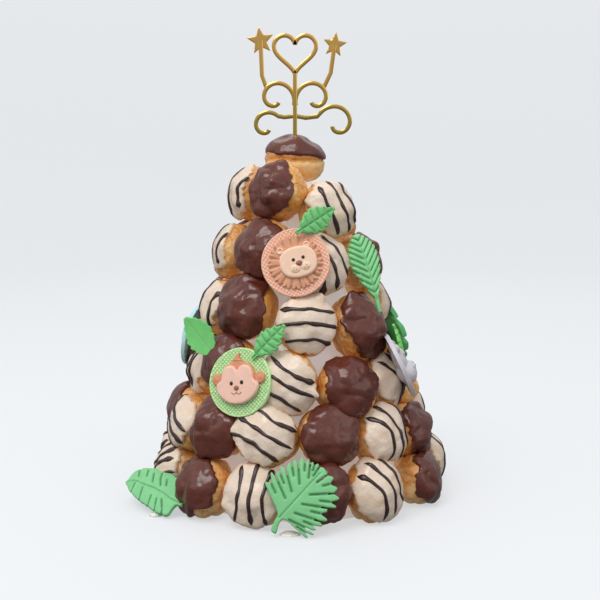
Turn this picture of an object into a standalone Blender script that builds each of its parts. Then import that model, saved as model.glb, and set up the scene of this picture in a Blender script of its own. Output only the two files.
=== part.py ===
"""Cream puff tower.

Small cream puffs stand in courses round a white cone. Sugar-paste animal medallions
and leaves lean on them, and a gold ornament stands on a stick in the top puff.

Metres, +Z up. The origin is the middle of the cone's foot, on the surface that the
tower stands on. +X is to the right and -Y towards the viewer. Azimuths are degrees
from the front, positive to the right. The tables give lengths in millimetres.
"""
import math
import random
from collections import namedtuple

import bmesh
import bpy
from mathutils import Matrix, Vector
from mathutils.bvhtree import BVHTree

MM = 0.001
GAP = 0.3 * MM

# The cone that carries the puffs.
CORE_FOOT_RADIUS = 86.0 * MM
CORE_HEIGHT = 240.0 * MM
CORE_SLOPE = 0.30            # radius lost for each metre of height
CORE_SIDES = 36
LEAN = 0.015                 # the hand-built tower drifts to -X by this for each metre

# A cream puff is a squat bun with its flat base on the cone.
PUFF_STAND = 13.5 * MM       # level distance from the cone to a puff's middle
DOME_PER_WIDTH = 0.42        # the dome's rise over the middle, for each unit of width
BASE_PER_WIDTH = 0.33        # the base's depth under the middle, for each unit of width
DOME_POWER = 2.3             # 2 is an ellipse, more is boxier
BASE_POWER = 3.2
LUMP = 0.035                 # height of the baked-in lumps, for each unit of radius
LUMPS = 5
LUMP_SHARPNESS = (3.0, 7.0)  # small is broad
SHOWN_SIDES, SHOWN_RINGS = 14, 6
BACK_SIDES, BACK_RINGS = 10, 6
FUSE = 0.3 * MM              # how far two puffs baked together pass their shared plane
CLOSE = 1.35                 # puffs share a plane up to this times the sum of their radii

# Puffs that show from the front, each a piece of its own:
# name, azimuth, height, width, length up the cone, turn, stand out from the course.
# The turn swings the dome sideways from the cone's normal.
SHOWN_PUFFS = (
    ("puff_6a_striped", -85, 230, 42, 42, 0, 0),
    ("puff_6b_dark", -22, 232, 43, 43, 0, 0),
    ("puff_6c_striped", 42, 218, 43, 44, 0, 0),
    ("puff_6d_plain", 128, 203, 40, 40, 0, -1),
    ("puff_5a_striped", -84, 186, 42, 44, -15, 0),
    ("puff_5b_dark", -29, 189, 44, 47, 0, 0),
    ("puff_5c_striped", 20, 178, 45, 45, 0, 0),
    ("puff_5d_dark", 80, 179, 42, 42, 0, 0),
    ("puff_4a_striped", -78, 144, 41, 43, 0, -1),
    ("puff_4b_dark", -38, 147, 45, 47, 0, 0),
    ("puff_4c_striped", 7, 137, 44, 46, 0, 0),
    ("puff_4d_dark", 47, 132, 43, 52, 8, 0),
    ("puff_4e_striped", 108, 145, 42, 42, 0, 0),
    ("puff_3a_striped", -79, 96, 41, 44, 0, -6),
    ("puff_3b_dark", -44, 107, 43, 44, 0, 0),
    ("puff_3c_striped", -5, 97, 43, 49, 0, 0),
    ("puff_3d_dark", 29, 91, 47, 46, 0, 0),
    ("puff_3e_striped", 59, 91, 42, 44, 8, -3),
    ("puff_3f_plain", 94, 78, 42, 42, 0, 0),
    ("puff_2a_dark", -99, 60, 44, 43, 0, 4),
    ("puff_2b_striped", -71, 56, 44, 45, 0, 0),
    ("puff_2c_dark", -42, 62, 41, 49, 0, 2),
    ("puff_2d_striped", -15, 60, 47, 46, 0, 0),
    ("puff_2e_dark", 15, 60, 43, 46, 0, 0),
    ("puff_2f_striped", 44, 57, 44, 43, 0, 0),
    ("puff_2g_dark", 74, 51, 43, 43, 12, 1),
    ("puff_1a_striped", -102, 28, 43, 43, 0, 0),
    ("puff_1b_striped", -74, 22, 44, 43, 0, 0),
    ("puff_1c_dark", -45, 20, 45, 46, -15, 0),
    ("puff_1d_striped", -18, 20, 43, 46, 0, 0),
    ("puff_1e_dark", 9, 23, 43, 43, 0, 0),
    ("puff_1f_striped", 34, 21, 44, 46, 10, 0),
    ("puff_1g_dark", 67, 17, 43, 42, 12, 1),
    ("puff_1h_striped", 96, 20, 43, 43, 0, 3),
)
TOP_PUFF = ("puff_7_dark", 255, 47, 47)      # name, height, width, length
TOP_DOME_POWER = 1.75        # the top puff's dome is peaked

# Puffs at the back, set evenly from one azimuth to another and baked together in
# groups: course, height, first and last azimuth of the free arc, puffs in each group.
BACK_COURSES = (
    ("6", 226, 118, 275, (1,)),
    ("5", 187, 80, 276, (3,)),
    ("4", 141, 108, 282, (2, 2)),
    ("3", 96, 92, 282, (2, 3)),
    ("2", 59, 74, 259, (3, 3)),
    ("1", 22, 96, 258, (3, 3)),
)
BACK_WIDTH, BACK_LENGTH = 44.0 * MM, 47.0 * MM
BACK_SHIFT = 1.5             # most that a puff at the back strays, in mm and degrees
BACK_SEED = 4

# Sugar-paste medallions: a disc with an animal's face on it.
DISC_RADIUS = 24.5 * MM
DISC_THICKNESS = 3.0 * MM
DISC_SIDES = 28
# name, azimuth and height of its middle, azimuth and lift of its face, tilt.
MEDALLIONS = (
    ("medallion_lion", 0, 184, -4, 12, 14),
    ("medallion_monkey", -27, 101, -26, 14, 8),
    ("medallion_elephant", -108, 118, -104, 12, 0),
    ("medallion_hippo", 58, 108, 92, 25, 0),
)
# The raised forms of each face, in millimetres on the disc: x, y, half width,
# half height, rise over the disc, turn in degrees.
FACE_FORMS = {
    "medallion_lion": (
        (0, 0, 18.5, 18.5, 1.3, 0), (0, -0.5, 13.5, 11.5, 3.6, 0),
        (-10.5, 9.5, 2.6, 2.6, 2.6, 0), (10.5, 9.5, 2.6, 2.6, 2.6, 0),
        (0, -1.8, 2.3, 1.9, 5.4, 0), (-3.6, -5.0, 3.6, 3.0, 4.6, 0),
        (3.6, -5.0, 3.6, 3.0, 4.6, 0)),
    "medallion_monkey": (
        (0, 2, 13.5, 13.5, 2.4, 0), (0, -4, 16.0, 10.5, 3.6, 0),
        (-5.2, 4.5, 8.4, 8.6, 3.4, 0), (5.2, 4.5, 8.4, 8.6, 3.4, 0),
        (-16.5, 2.0, 5.0, 5.0, 2.2, 0), (16.5, 2.0, 5.0, 5.0, 2.2, 0),
        (0, -3.5, 2.0, 1.8, 4.8, 0)),
    "medallion_elephant": (
        (0, 1, 11.0, 12.0, 5.6, 0), (-13, 3, 7.5, 10.5, 3.4, -12),
        (13, 3, 7.5, 10.5, 3.4, 12), (0, -8, 4.0, 9.0, 7.4, 0)),
    "medallion_hippo": (
        (0, 4, 12.5, 12.0, 5.0, 0), (0, -7, 14.0, 9.5, 8.6, 0),
        (-10, 14, 3.6, 3.6, 3.4, 0), (10, 14, 3.6, 3.6, 3.4, 0),
        (-5, -4, 2.4, 2.0, 10.2, 0), (5, -4, 2.4, 2.0, 10.2, 0)),
}

# Sugar-paste leaves, each a sheet along its midrib. Lengths are in millimetres.
# length, width: of the blade
# fingers: on each side
# notches: depth of every other notch, and of those between, as shares of the half width
# blunt: fingers with two end points instead of one
# sweep, fan: how far the fingers lean to the tip, for each unit of reach, and how much
# more the last of them lean
# roots: the part of the midrib that the fingers start from
# peak, fullness: place of the widest point (small is near the stem), roundness of ends
# stem: its length
# thickness: of the sheet
LeafShape = namedtuple("LeafShape", "length width fingers notches blunt sweep fan roots "
                                    "peak fullness stem thickness")
LEAF_SHAPES = {
    "serrated": LeafShape(31, 19, 6, (0.16, 0.16), False, 0.25, 0.0, 1.0, 0.80, 1.0, 2, 1.6),
    "fern": LeafShape(50, 27, 8, (0.42, 0.42), True, 0.60, 0.0, 1.0, 0.80, 1.0, 10, 2.2),
    "palm": LeafShape(46, 48, 6, (0.30, 0.30), True, 0.25, 1.2, 0.82, 0.30, 0.34, 8, 2.4),
    "broad": LeafShape(46, 31, 5, (0.10, 0.10), True, 0.10, 0.0, 1.0, 0.95, 0.75, 5, 2.6),
    "split": LeafShape(48, 44, 4, (0.50, 0.50), True, 0.40, 0.0, 1.0, 0.75, 1.0, 8, 4.0),
}
# name, shape, scale, azimuth and height of the blade's middle, azimuth and lift of
# its face, direction of the midrib on that face (0 right, 90 up), cup.
LEAVES = (
    ("leaf_top", "serrated", 1.08, 15, 213, 20, 14, 30, 1.0),
    ("leaf_fern", "fern", 1.00, 50, 179, 30, 12, 104, 1.5),
    ("leaf_left", "serrated", 1.20, -54, 128, -30, 6, 138, -1.0),
    ("leaf_middle", "serrated", 1.00, -13, 130, -14, 14, 48, 1.0),
    ("leaf_palm", "palm", 1.06, 1, 28, -3, 22, 48, 1.5),
    ("leaf_broad", "broad", 1.05, -62, 20, -34, 48, 173, 2.5),
    ("leaf_split", "split", 1.20, 113, 124, 108, 18, 262, 1.5),
    ("leaf_small", "serrated", 0.90, 66, 122, 84, 16, 285, 1.0),
)
STANDING_LEAVES = ("leaf_palm", "leaf_broad")     # their lower edge is on the ground
STEM_HALF_WIDTH = 1.5 * MM
DECORATION_STAND = 26.0 * MM  # level distance from a course to a decoration's aim point
SLIDE_START = 20.0 * MM      # how far outside its aim point a decoration's slide starts

# The gold ornament: flat strokes of one width, in the plane that faces the viewer.
STROKE = 3.2 * MM
ORNAMENT_THICKNESS = 2.0 * MM
THINNING = 0.02              # share by which each stroke is thinner than the one before
STICK_X = -3.0               # in millimetres, as the ornament's points are
STICK_DEPTH = 12.0 * MM      # how far the stick goes into the top puff
ARC_STEP = 20.0              # degrees between the points of a curl

COLOURS = {
    "dark": ((0.050, 0.018, 0.014), 0.30, 0.0),
    "striped": ((0.80, 0.70, 0.55), 0.42, 0.0),
    "plain": ((0.72, 0.36, 0.10), 0.60, 0.0),
    "core": ((0.82, 0.78, 0.75), 0.50, 0.0),
    "leaf": ((0.22, 0.62, 0.26), 0.50, 0.0),
    "gold": ((0.86, 0.55, 0.16), 0.18, 1.0),
    "medallion_lion": ((0.85, 0.40, 0.25), 0.55, 0.0),
    "medallion_monkey": ((0.42, 0.78, 0.32), 0.55, 0.0),
    "medallion_elephant": ((0.42, 0.72, 0.74), 0.55, 0.0),
    "medallion_hippo": ((0.58, 0.56, 0.60), 0.55, 0.0),
}


# Scene and material helpers.

def clear_scene():
    for item in list(bpy.data.objects):
        bpy.data.objects.remove(item, do_unlink=True)


def new_collection(name):
    collection = bpy.data.collections.new(name)
    bpy.context.scene.collection.children.link(collection)
    return collection


def paint(item, finish):
    colour, roughness, metallic = COLOURS[finish]
    material = bpy.data.materials.new(item.name + "_finish")
    material.use_nodes = True
    shader = material.node_tree.nodes["Principled BSDF"]
    shader.inputs["Base Color"].default_value = (*colour, 1.0)
    shader.inputs["Roughness"].default_value = roughness
    shader.inputs["Metallic"].default_value = metallic
    item.data.materials.clear()
    item.data.materials.append(material)


def add_object(name, bm, collection):
    """Turn a bmesh into an object of the collection, smooth where it is round."""
    bmesh.ops.recalc_face_normals(bm, faces=bm.faces)
    closed = all(edge.is_manifold for edge in bm.edges)
    if closed and bm.calc_volume(signed=True) < 0.0:
        bmesh.ops.reverse_faces(bm, faces=bm.faces)
    mesh = bpy.data.meshes.new(name)
    bm.to_mesh(mesh)
    bm.free()
    mesh.shade_smooth()
    mesh.set_sharp_from_angle(angle=math.radians(50))
    item = bpy.data.objects.new(name, mesh)
    collection.objects.link(item)
    return item


def finished_mesh(item):
    """The object's mesh with its modifiers, in the object's own axes."""
    bpy.context.view_layer.update()
    depsgraph = bpy.context.evaluated_depsgraph_get()
    return bpy.data.meshes.new_from_object(item.evaluated_get(depsgraph))


def apply_modifiers(item):
    mesh = finished_mesh(item)
    item.modifiers.clear()
    item.data = mesh
    return item


def fuse(name, items, collection):
    """One body from overlapping bodies, by a Boolean union on a collection."""
    pieces = bpy.data.collections.new(name + "_pieces")
    for other in items[1:]:
        collection.objects.unlink(other)
        pieces.objects.link(other)
    body = items[0]
    union = body.modifiers.new("union", "BOOLEAN")
    union.operation = "UNION"
    union.operand_type = "COLLECTION"
    union.collection = pieces
    apply_modifiers(body)
    for other in list(pieces.objects):
        bpy.data.objects.remove(other, do_unlink=True)
    bpy.data.collections.remove(pieces)
    body.name = body.data.name = name
    return body


# Places on the tower.

def level_direction(azimuth):
    angle = math.radians(azimuth)
    return Vector((math.sin(angle), -math.cos(angle), 0.0))


def axis_point(height):
    return Vector((-LEAN * height, 0.0, height))


def course_radius(height):
    """Distance from the axis to the middle of a puff at this height."""
    return CORE_FOOT_RADIUS + PUFF_STAND - CORE_SLOPE * height


def cone_normal(azimuth):
    return (level_direction(azimuth) + Vector((0.0, 0.0, CORE_SLOPE))).normalized()


def face_axes(azimuth, lift, turn):
    """Rotation whose Z is the face's normal and whose X is turned from the right."""
    right = Vector((math.cos(math.radians(azimuth)), math.sin(math.radians(azimuth)), 0.0))
    level = level_direction(azimuth)
    rise = math.radians(lift)
    normal = level * math.cos(rise) + Vector((0.0, 0.0, math.sin(rise)))
    up = normal.cross(right)
    angle = math.radians(turn)
    along = right * math.cos(angle) + up * math.sin(angle)
    across = normal.cross(along)
    return Matrix((along, across, normal)).transposed()


# Cream puffs.

class Puff:
    """A puff's place and size: Z of its axes is the dome, Y runs up the cone."""

    def __init__(self, name, centre, axes, width, length, sides, rings):
        self.name = name
        self.centre = centre
        self.axes = axes
        self.width = width
        self.length = length
        self.sides = sides
        self.rings = rings
        self.dome_power = DOME_POWER
        self.planes = []
        self.lumps = baked_lumps(name)

    def reach(self):
        return (self.width + self.length) / 4.0


def baked_lumps(name):
    """Seeded soft lumps: direction, sharpness and height of each."""
    draw = random.Random(name)
    lumps = []
    for _ in range(LUMPS):
        direction = Vector([draw.gauss(0.0, 1.0) for _ in range(3)]).normalized()
        sharpness = draw.uniform(*LUMP_SHARPNESS)
        lumps.append((direction, sharpness, draw.uniform(-0.6, 1.0) * LUMP))
    return lumps


def standing_puff(name, azimuth, height, width, length, turn, out, sides, rings):
    radius = course_radius(height) + out
    centre = axis_point(height) + level_direction(azimuth) * radius
    slope = math.degrees(math.atan(CORE_SLOPE))
    puff = Puff(name, centre, face_axes(azimuth + turn, slope, 0.0), width, length, sides, rings)
    foot = cone_normal(azimuth)
    puff.planes.append((-foot, (PUFF_STAND + out) * math.cos(math.radians(slope)) - GAP))
    return puff


def skin_radius(puff, direction):
    """Distance from the puff's middle to its skin along a direction of its own axes."""
    half = DOME_PER_WIDTH if direction.z > 0.0 else BASE_PER_WIDTH
    power = puff.dome_power if direction.z > 0.0 else BASE_POWER
    level = math.hypot(direction.x / (puff.width / 2.0), direction.y / (puff.length / 2.0))
    upright = abs(direction.z) / (half * puff.width)
    radius = (level ** power + upright ** power) ** (-1.0 / power)
    for lump, sharpness, rise in puff.lumps:
        radius *= 1.0 + rise * math.exp(sharpness * (direction.dot(lump) - 1.0))
    world = puff.axes @ direction
    for normal, distance in puff.planes:
        facing = world.dot(normal)
        if facing > 0.0:
            radius = min(radius, distance / facing)
    return radius


def part_neighbours(puffs, fused):
    """Give each pair of close puffs a shared plane, so that they meet with a gap.

    Puffs of one fused group pass the plane instead, so that they join.
    """
    for index, first in enumerate(puffs):
        for second in puffs[index + 1:]:
            line = second.centre - first.centre
            if line.length > CLOSE * (first.reach() + second.reach()):
                continue
            share = first.reach() / (first.reach() + second.reach())
            margin = FUSE if fused.get(first.name) == fused.get(second.name, "") else -GAP / 2.0
            away = line.normalized()
            first.planes.append((away, line.length * share + margin))
            second.planes.append((-away, line.length * (1.0 - share) + margin))


def bake_puff(puff, collection):
    bm = bmesh.new()
    bmesh.ops.create_uvsphere(bm, u_segments=puff.sides, v_segments=puff.rings, radius=1.0)
    for vertex in bm.verts:
        direction = vertex.co.normalized()
        vertex.co = puff.axes @ direction * skin_radius(puff, direction)
    item = add_object(puff.name, bm, collection)
    item.location = puff.centre
    return item


def shown_puffs():
    puffs = []
    for name, azimuth, height, width, length, turn, out in SHOWN_PUFFS:
        puffs.append(standing_puff(name, azimuth, height * MM, width * MM, length * MM,
                                   turn, out * MM, SHOWN_SIDES, SHOWN_RINGS))
        puffs[-1].planes.append((Vector((0.0, 0.0, -1.0)), height * MM))
    name, height, width, length = TOP_PUFF
    top = Puff(name, axis_point(height * MM), Matrix.Identity(3), width * MM, length * MM,
               SHOWN_SIDES, SHOWN_RINGS)
    top.dome_power = TOP_DOME_POWER
    top.planes.append((Vector((0.0, 0.0, -1.0)), height * MM - CORE_HEIGHT - GAP))
    puffs.append(top)
    return puffs


def back_puffs():
    """Puffs of the back arcs and, for each group's name, its puffs in order."""
    puffs, groups = [], {}
    draw = random.Random(BACK_SEED)
    for course, height, start, end, sizes in BACK_COURSES:
        step = (end - start) / (sum(sizes) + 1.0)
        coats = ("dark", "striped")
        count = 0
        for number, size in enumerate(sizes):
            members = []
            for _ in range(size):
                count += 1
                azimuth = start + step * count + draw.uniform(-1.0, 1.0) * BACK_SHIFT
                rise = height + draw.uniform(-1.0, 1.0) * BACK_SHIFT
                coat = coats[(count + int(course)) % 2]
                members.append(standing_puff(
                    "puff_%s_back%d_%s" % (course, count, coat), azimuth, rise * MM,
                    BACK_WIDTH, BACK_LENGTH, 0.0, 0.0, BACK_SIDES, BACK_RINGS))
                members[-1].planes.append((Vector((0.0, 0.0, -1.0)), rise * MM))
            coat_words = "_".join(member.name.split("_")[-1] for member in members)
            groups["puffs_%s%s_%s" % (course, "xyz"[number], coat_words)] = members
            puffs += members
    return puffs, groups


def make_puffs(collection):
    shown = shown_puffs()
    back, groups = back_puffs()
    fused = {member.name: name for name, members in groups.items() for member in members}
    part_neighbours(shown + back, fused)
    items = []
    for puff in shown:
        items.append(bake_puff(puff, collection))
        paint(items[-1], puff.name.split("_")[-1])
    for name, members in groups.items():
        baked = [bake_puff(member, collection) for member in members]
        for item in baked:
            move_into_mesh(item)
        items.append(fuse(name, baked, collection))
        paint(items[-1], members[0].name.split("_")[-1])
    return items


def move_into_mesh(item):
    """Put the object's place into its mesh, so that bodies can be fused."""
    item.data.transform(Matrix.LocRotScale(item.location, item.rotation_euler, item.scale))
    item.matrix_basis = Matrix.Identity(4)


# The cone.

def make_core(collection):
    bm = bmesh.new()
    top_radius = CORE_FOOT_RADIUS - CORE_SLOPE * CORE_HEIGHT
    bmesh.ops.create_cone(bm, cap_ends=True, segments=CORE_SIDES, radius1=CORE_FOOT_RADIUS,
                          radius2=top_radius, depth=CORE_HEIGHT)
    for vertex in bm.verts:
        vertex.co.z += CORE_HEIGHT / 2.0
        vertex.co.x -= LEAN * vertex.co.z
    core = add_object("core", bm, collection)
    paint(core, "core")
    return core


# Resting a decoration on the others.

def aim_point(azimuth, height):
    """Where a decoration's middle is before its slide, from a height in millimetres."""
    reach = course_radius(height * MM) + DECORATION_STAND
    return axis_point(height * MM) + level_direction(azimuth) * reach


def sample_points(mesh, matrix):
    """Corners, edge points and face middles of a mesh, placed by the matrix."""
    corners = [matrix @ vertex.co for vertex in mesh.vertices]
    points = list(corners)
    for edge in mesh.edges:
        first, second = (corners[index] for index in edge.vertices)
        points += [first.lerp(second, part) for part in (0.25, 0.5, 0.75)]
    points += [matrix @ polygon.center for polygon in mesh.polygons]
    return points


def surface_tree(mesh, matrix):
    mesh.calc_loop_triangles()
    corners = [matrix @ vertex.co for vertex in mesh.vertices]
    return BVHTree.FromPolygons(corners, [tri.vertices for tri in mesh.loop_triangles])


def rest_on(item, inward, carriers, clearance):
    """Slide the item inwards until it is the clearance away from the first carrier."""
    bpy.context.view_layer.update()
    own_points = sample_points(item.data, item.matrix_world)
    own_tree = surface_tree(item.data, item.matrix_world)
    travel = math.inf
    for carrier in carriers:
        tree = surface_tree(carrier.data, carrier.matrix_world)
        for point in own_points:
            hit = tree.ray_cast(point, inward)
            if hit[0] is not None:
                travel = min(travel, hit[3])
        for point in sample_points(carrier.data, carrier.matrix_world):
            hit = own_tree.ray_cast(point, -inward)
            if hit[0] is not None:
                travel = min(travel, hit[3])
    item.location += inward * (travel - clearance)
    bpy.context.view_layer.update()


# Medallions.

def face_form(name, form, collection):
    """One raised form of a face: a flattened ball sunk half-way into the disc."""
    x, y, half_width, half_height, rise, turn = form
    bm = bmesh.new()
    rings = 6 if max(half_width, half_height) > 6.0 else 4
    bmesh.ops.create_uvsphere(bm, u_segments=2 * rings, v_segments=rings, radius=1.0)
    place = (Matrix.Translation((x * MM, y * MM, DISC_THICKNESS / 2.0))
             @ Matrix.Rotation(math.radians(turn), 4, "Z")
             @ Matrix.Diagonal((half_width * MM, half_height * MM,
                                rise * MM + DISC_THICKNESS / 2.0, 1.0)))
    keep_inside = DISC_THICKNESS / 4.0
    for vertex in bm.verts:
        vertex.co = place @ vertex.co
        vertex.co.z = max(vertex.co.z, keep_inside)
    bmesh.ops.remove_doubles(bm, verts=bm.verts, dist=0.02 * MM)
    return add_object(name, bm, collection)


def make_medallion(name, azimuth, height, face_azimuth, lift, tilt, carriers, collection):
    bm = bmesh.new()
    bmesh.ops.create_cone(bm, cap_ends=True, segments=DISC_SIDES, radius1=DISC_RADIUS,
                          radius2=DISC_RADIUS, depth=DISC_THICKNESS)
    for vertex in bm.verts:
        vertex.co.z += DISC_THICKNESS / 2.0
    disc = add_object(name, bm, collection)
    forms = [face_form("%s_form%d" % (name, number), form, collection)
             for number, form in enumerate(FACE_FORMS[name])]
    medallion = fuse(name, [disc] + forms, collection)
    axes = face_axes(face_azimuth, lift, tilt)
    inward = -axes.col[2].to_3d()
    start = aim_point(azimuth, height) - inward * SLIDE_START
    medallion.matrix_world = Matrix.Translation(start) @ axes.to_4x4()
    rest_on(medallion, inward, carriers, GAP)
    paint(medallion, name)
    return medallion


# Leaves.

def blade_half_width(part, shape):
    """Half width of a blade along its midrib, as a share of the most."""
    return math.sin(math.pi * part ** shape.peak) ** shape.fullness


def blade_stations(shape):
    """Places along the midrib and the share of the half width that the edge has there.

    Each finger runs from a notch to a notch, with one pointed or two blunt end points.
    The first finger starts at the stem.
    """
    ends = (0.20, 0.80) if shape.blunt else (0.60,)
    stations = []
    for finger in range(shape.fingers):
        share = 1.0 - shape.notches[finger % 2] if finger else 0.0
        stations.append((finger / shape.fingers, share))
        stations += [((finger + end) / shape.fingers, 1.0) for end in ends]
    return stations + [(1.0, 1.0)]


def leaf_sheet(bm, shape, scale, cup):
    """A flat grid drawn into the leaf's outline and cupped across its midrib."""
    length, width, stem = (scale * MM * size for size in (shape.length, shape.width, shape.stem))
    stations = blade_stations(shape)
    columns = 4 if shape.blunt else 2
    bmesh.ops.create_grid(bm, x_segments=len(stations), y_segments=columns, size=1.0)
    for vertex in bm.verts:
        number = round((vertex.co.x + 1.0) / 2.0 * len(stations)) - 1
        side = vertex.co.y
        if number < 0:
            along, reach = -stem, STEM_HALF_WIDTH
        else:
            part, share = stations[number]
            half = width / 2.0 * blade_half_width(0.02 + 0.95 * part, shape)
            if abs(side) < 0.75:
                share = 0.8 * min(share, 1.0 - max(shape.notches))
            reach = max(half * share, STEM_HALF_WIDTH)
            swept = (shape.sweep + shape.fan * part ** 3) * reach * abs(side)
            along = min(part * shape.roots * length + swept, length * (1.0 - 0.02 * abs(side)))
            if part == 1.0:
                along = length
        vertex.co.x = along - length / 2.0
        vertex.co.y = side * reach
        bow = 4.0 * (along / length) * (1.0 - along / length)
        vertex.co.z = cup * MM * (bow - (vertex.co.y / (width / 2.0)) ** 2)


def make_leaf(name, shape, scale, azimuth, height, face_azimuth, lift, midrib, cup,
              carriers, collection):
    bm = bmesh.new()
    leaf_sheet(bm, LEAF_SHAPES[shape], scale, cup)
    leaf = add_object(name, bm, collection)
    solid = leaf.modifiers.new("thickness", "SOLIDIFY")
    solid.thickness = LEAF_SHAPES[shape].thickness * MM
    solid.offset = -1.0
    apply_modifiers(leaf)
    axes = face_axes(face_azimuth, lift, midrib)
    standing = name in STANDING_LEAVES
    inward = -level_direction(azimuth) if standing else -axes.col[2].to_3d()
    start = aim_point(azimuth, height) - inward * SLIDE_START
    leaf.matrix_world = Matrix.Translation(start) @ axes.to_4x4()
    if standing:
        lowest = min((leaf.matrix_world @ vertex.co).z for vertex in leaf.data.vertices)
        leaf.location.z -= lowest - GAP
    rest_on(leaf, inward, carriers, GAP)
    paint(leaf, "leaf")
    return leaf


# The gold ornament, drawn in millimetres to the right of the tower's middle and above
# the foot.

def curl(centre, start_radius, end_radius, start_angle, end_angle):
    """Points of a curl whose radius changes evenly with the angle."""
    count = max(2, round(abs(end_angle - start_angle) / ARC_STEP))
    points = []
    for step in range(count + 1):
        part = step / count
        angle = math.radians(start_angle + (end_angle - start_angle) * part)
        radius = start_radius + (end_radius - start_radius) * part
        points.append((centre[0] + radius * math.cos(angle),
                       centre[1] + radius * math.sin(angle)))
    return points


def heart(centre, half_width, count):
    """The usual sine-power heart, with its notch up."""
    points = []
    for step in range(count):
        angle = 2.0 * math.pi * (step + 0.5) / count
        rise = (13.0 * math.cos(angle) - 5.0 * math.cos(2.0 * angle)
                - 2.0 * math.cos(3.0 * angle) - math.cos(4.0 * angle))
        points.append((centre[0] + half_width * math.sin(angle) ** 3,
                       centre[1] + half_width * rise / 16.0))
    return points


def star(centre, radius, turn):
    points = []
    for step in range(10):
        angle = math.radians(90.0 + turn + 36.0 * step)
        reach = radius * (0.45 if step % 2 else 1.0)
        points.append((centre[0] + reach * math.cos(angle),
                       centre[1] + reach * math.sin(angle)))
    return points


def flat_piece(name, points, thickness, collection, width=None, closed=True):
    """A plate standing in the ornament's plane, from points in millimetres.

    With a width it is a band along the points, otherwise their outline filled in.
    """
    curve = bpy.data.curves.new(name, "CURVE")
    curve.dimensions = "2D"
    curve.fill_mode = "NONE" if width else "BOTH"
    curve.extrude = thickness / 2.0
    spline = curve.splines.new("POLY")
    spline.points.add(len(points) - 1)
    for place, (x, z) in zip(spline.points, points):
        place.co = (x * MM, z * MM, 0.0, 1.0)
    spline.use_cyclic_u = closed
    drawn = bpy.data.objects.new(name, curve)
    collection.objects.link(drawn)
    piece = bpy.data.objects.new(name, finished_mesh(drawn))
    bpy.data.objects.remove(drawn, do_unlink=True)
    collection.objects.link(piece)
    if width:
        band = piece.modifiers.new("band", "SOLIDIFY")
        band.thickness = width
        band.offset = 0.0
        band.use_even_offset = True
        apply_modifiers(piece)
    bm = bmesh.new()
    bm.from_mesh(piece.data)
    bpy.data.objects.remove(piece, do_unlink=True)
    bmesh.ops.remove_doubles(bm, verts=bm.verts, dist=0.01 * MM)
    bmesh.ops.rotate(bm, verts=bm.verts, matrix=Matrix.Rotation(math.pi / 2.0, 3, "X"))
    return add_object(name, bm, collection)


def stick_foot():
    """Height of the stick's lower end, in millimetres."""
    _, height, width, _ = TOP_PUFF
    return height + width * DOME_PER_WIDTH - STICK_DEPTH / MM


def make_ornament(collection):
    """The gold ornament, whose plates differ in thickness so that no two faces agree."""
    crossing = (STICK_X, 290.0)
    heart_point = (STICK_X, 322.0)
    left_star, right_star = (-29.0, 346.0), (27.0, 343.0)
    bands = (
        ("stick", [(STICK_X, stick_foot()), crossing, heart_point]),
        ("left_scroll", curl((-18.0, 303.0), 15.0, 4.0, -20.0, 310.0)),
        ("right_scroll", curl((12.0, 303.0), 15.0, 4.0, 200.0, -130.0)),
        ("left_swash", [crossing, (-11.0, 289.0)]
         + curl((-25.0, 282.0), 12.0, 3.5, 40.0, 310.0)),
        ("right_swash", [crossing, (5.0, 288.5), (14.0, 289.5)]
         + curl((29.0, 284.0), 15.0, 4.0, 145.0, -150.0)),
        ("left_stem", [(-24.5, 310.5), (-28.0, 320.0), left_star]),
        ("right_stem", [(18.5, 310.5), (24.0, 322.0), right_star]),
        ("heart", heart((STICK_X, 338.0), 16.0, 22)),
    )
    pieces = []
    for name, points in bands:
        thickness = ORNAMENT_THICKNESS * (1.0 - THINNING * len(pieces))
        pieces.append(flat_piece(name, points, thickness, collection, STROKE,
                                 closed=name == "heart"))
    for name, points in (("left_star", star(left_star, 10.5, 8.0)),
                         ("right_star", star(right_star, 9.5, -8.0))):
        thickness = ORNAMENT_THICKNESS * (1.0 - THINNING * len(pieces))
        pieces.append(flat_piece(name, points, thickness, collection))
    ornament = fuse("ornament", pieces, collection)
    paint(ornament, "gold")
    return ornament


def cut_stick_slot(top_puff, cutters):
    """A slot in the dome, wider than the stick by the gap all round."""
    bm = bmesh.new()
    bmesh.ops.create_cube(bm, size=1.0)
    height = 2.0 * STICK_DEPTH
    bmesh.ops.scale(bm, verts=bm.verts, vec=(STROKE + 2.0 * GAP,
                                             ORNAMENT_THICKNESS + 2.0 * GAP, height))
    cutter = add_object("stick_slot", bm, cutters)
    cutter.location = (STICK_X * MM, 0.0, stick_foot() * MM - GAP + height / 2.0)
    cutter.hide_render = True
    cutter.display_type = "WIRE"
    slot = top_puff.modifiers.new("stick_slot", "BOOLEAN")
    slot.operation = "DIFFERENCE"
    slot.object = cutter


def main():
    clear_scene()
    tower = new_collection("cream_puff_tower")
    core = make_core(tower)
    puffs = make_puffs(tower)
    carriers = [core] + puffs
    top_puff = bpy.data.objects[TOP_PUFF[0]]
    make_ornament(tower)
    cut_stick_slot(top_puff, new_collection("cutters"))
    for row in MEDALLIONS:
        carriers.append(make_medallion(*row, carriers, tower))
    for row in LEAVES:
        carriers.append(make_leaf(*row, carriers, tower))


main()
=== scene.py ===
"""Looks of a cream puff tower.

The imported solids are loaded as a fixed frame. Finished puffs, leaves, medallions and
an ornament are built over them in the same places, and a pale stage is set round them.
The file is laid out as an add-on and is run as a script.
"""
import itertools
import math
import random
from collections import namedtuple

import bmesh
import bpy
import numpy as np
from bpy.props import FloatProperty, FloatVectorProperty, IntProperty, PointerProperty
from mathutils import Matrix, Vector
from mathutils.geometry import delaunay_2d_cdt


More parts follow.
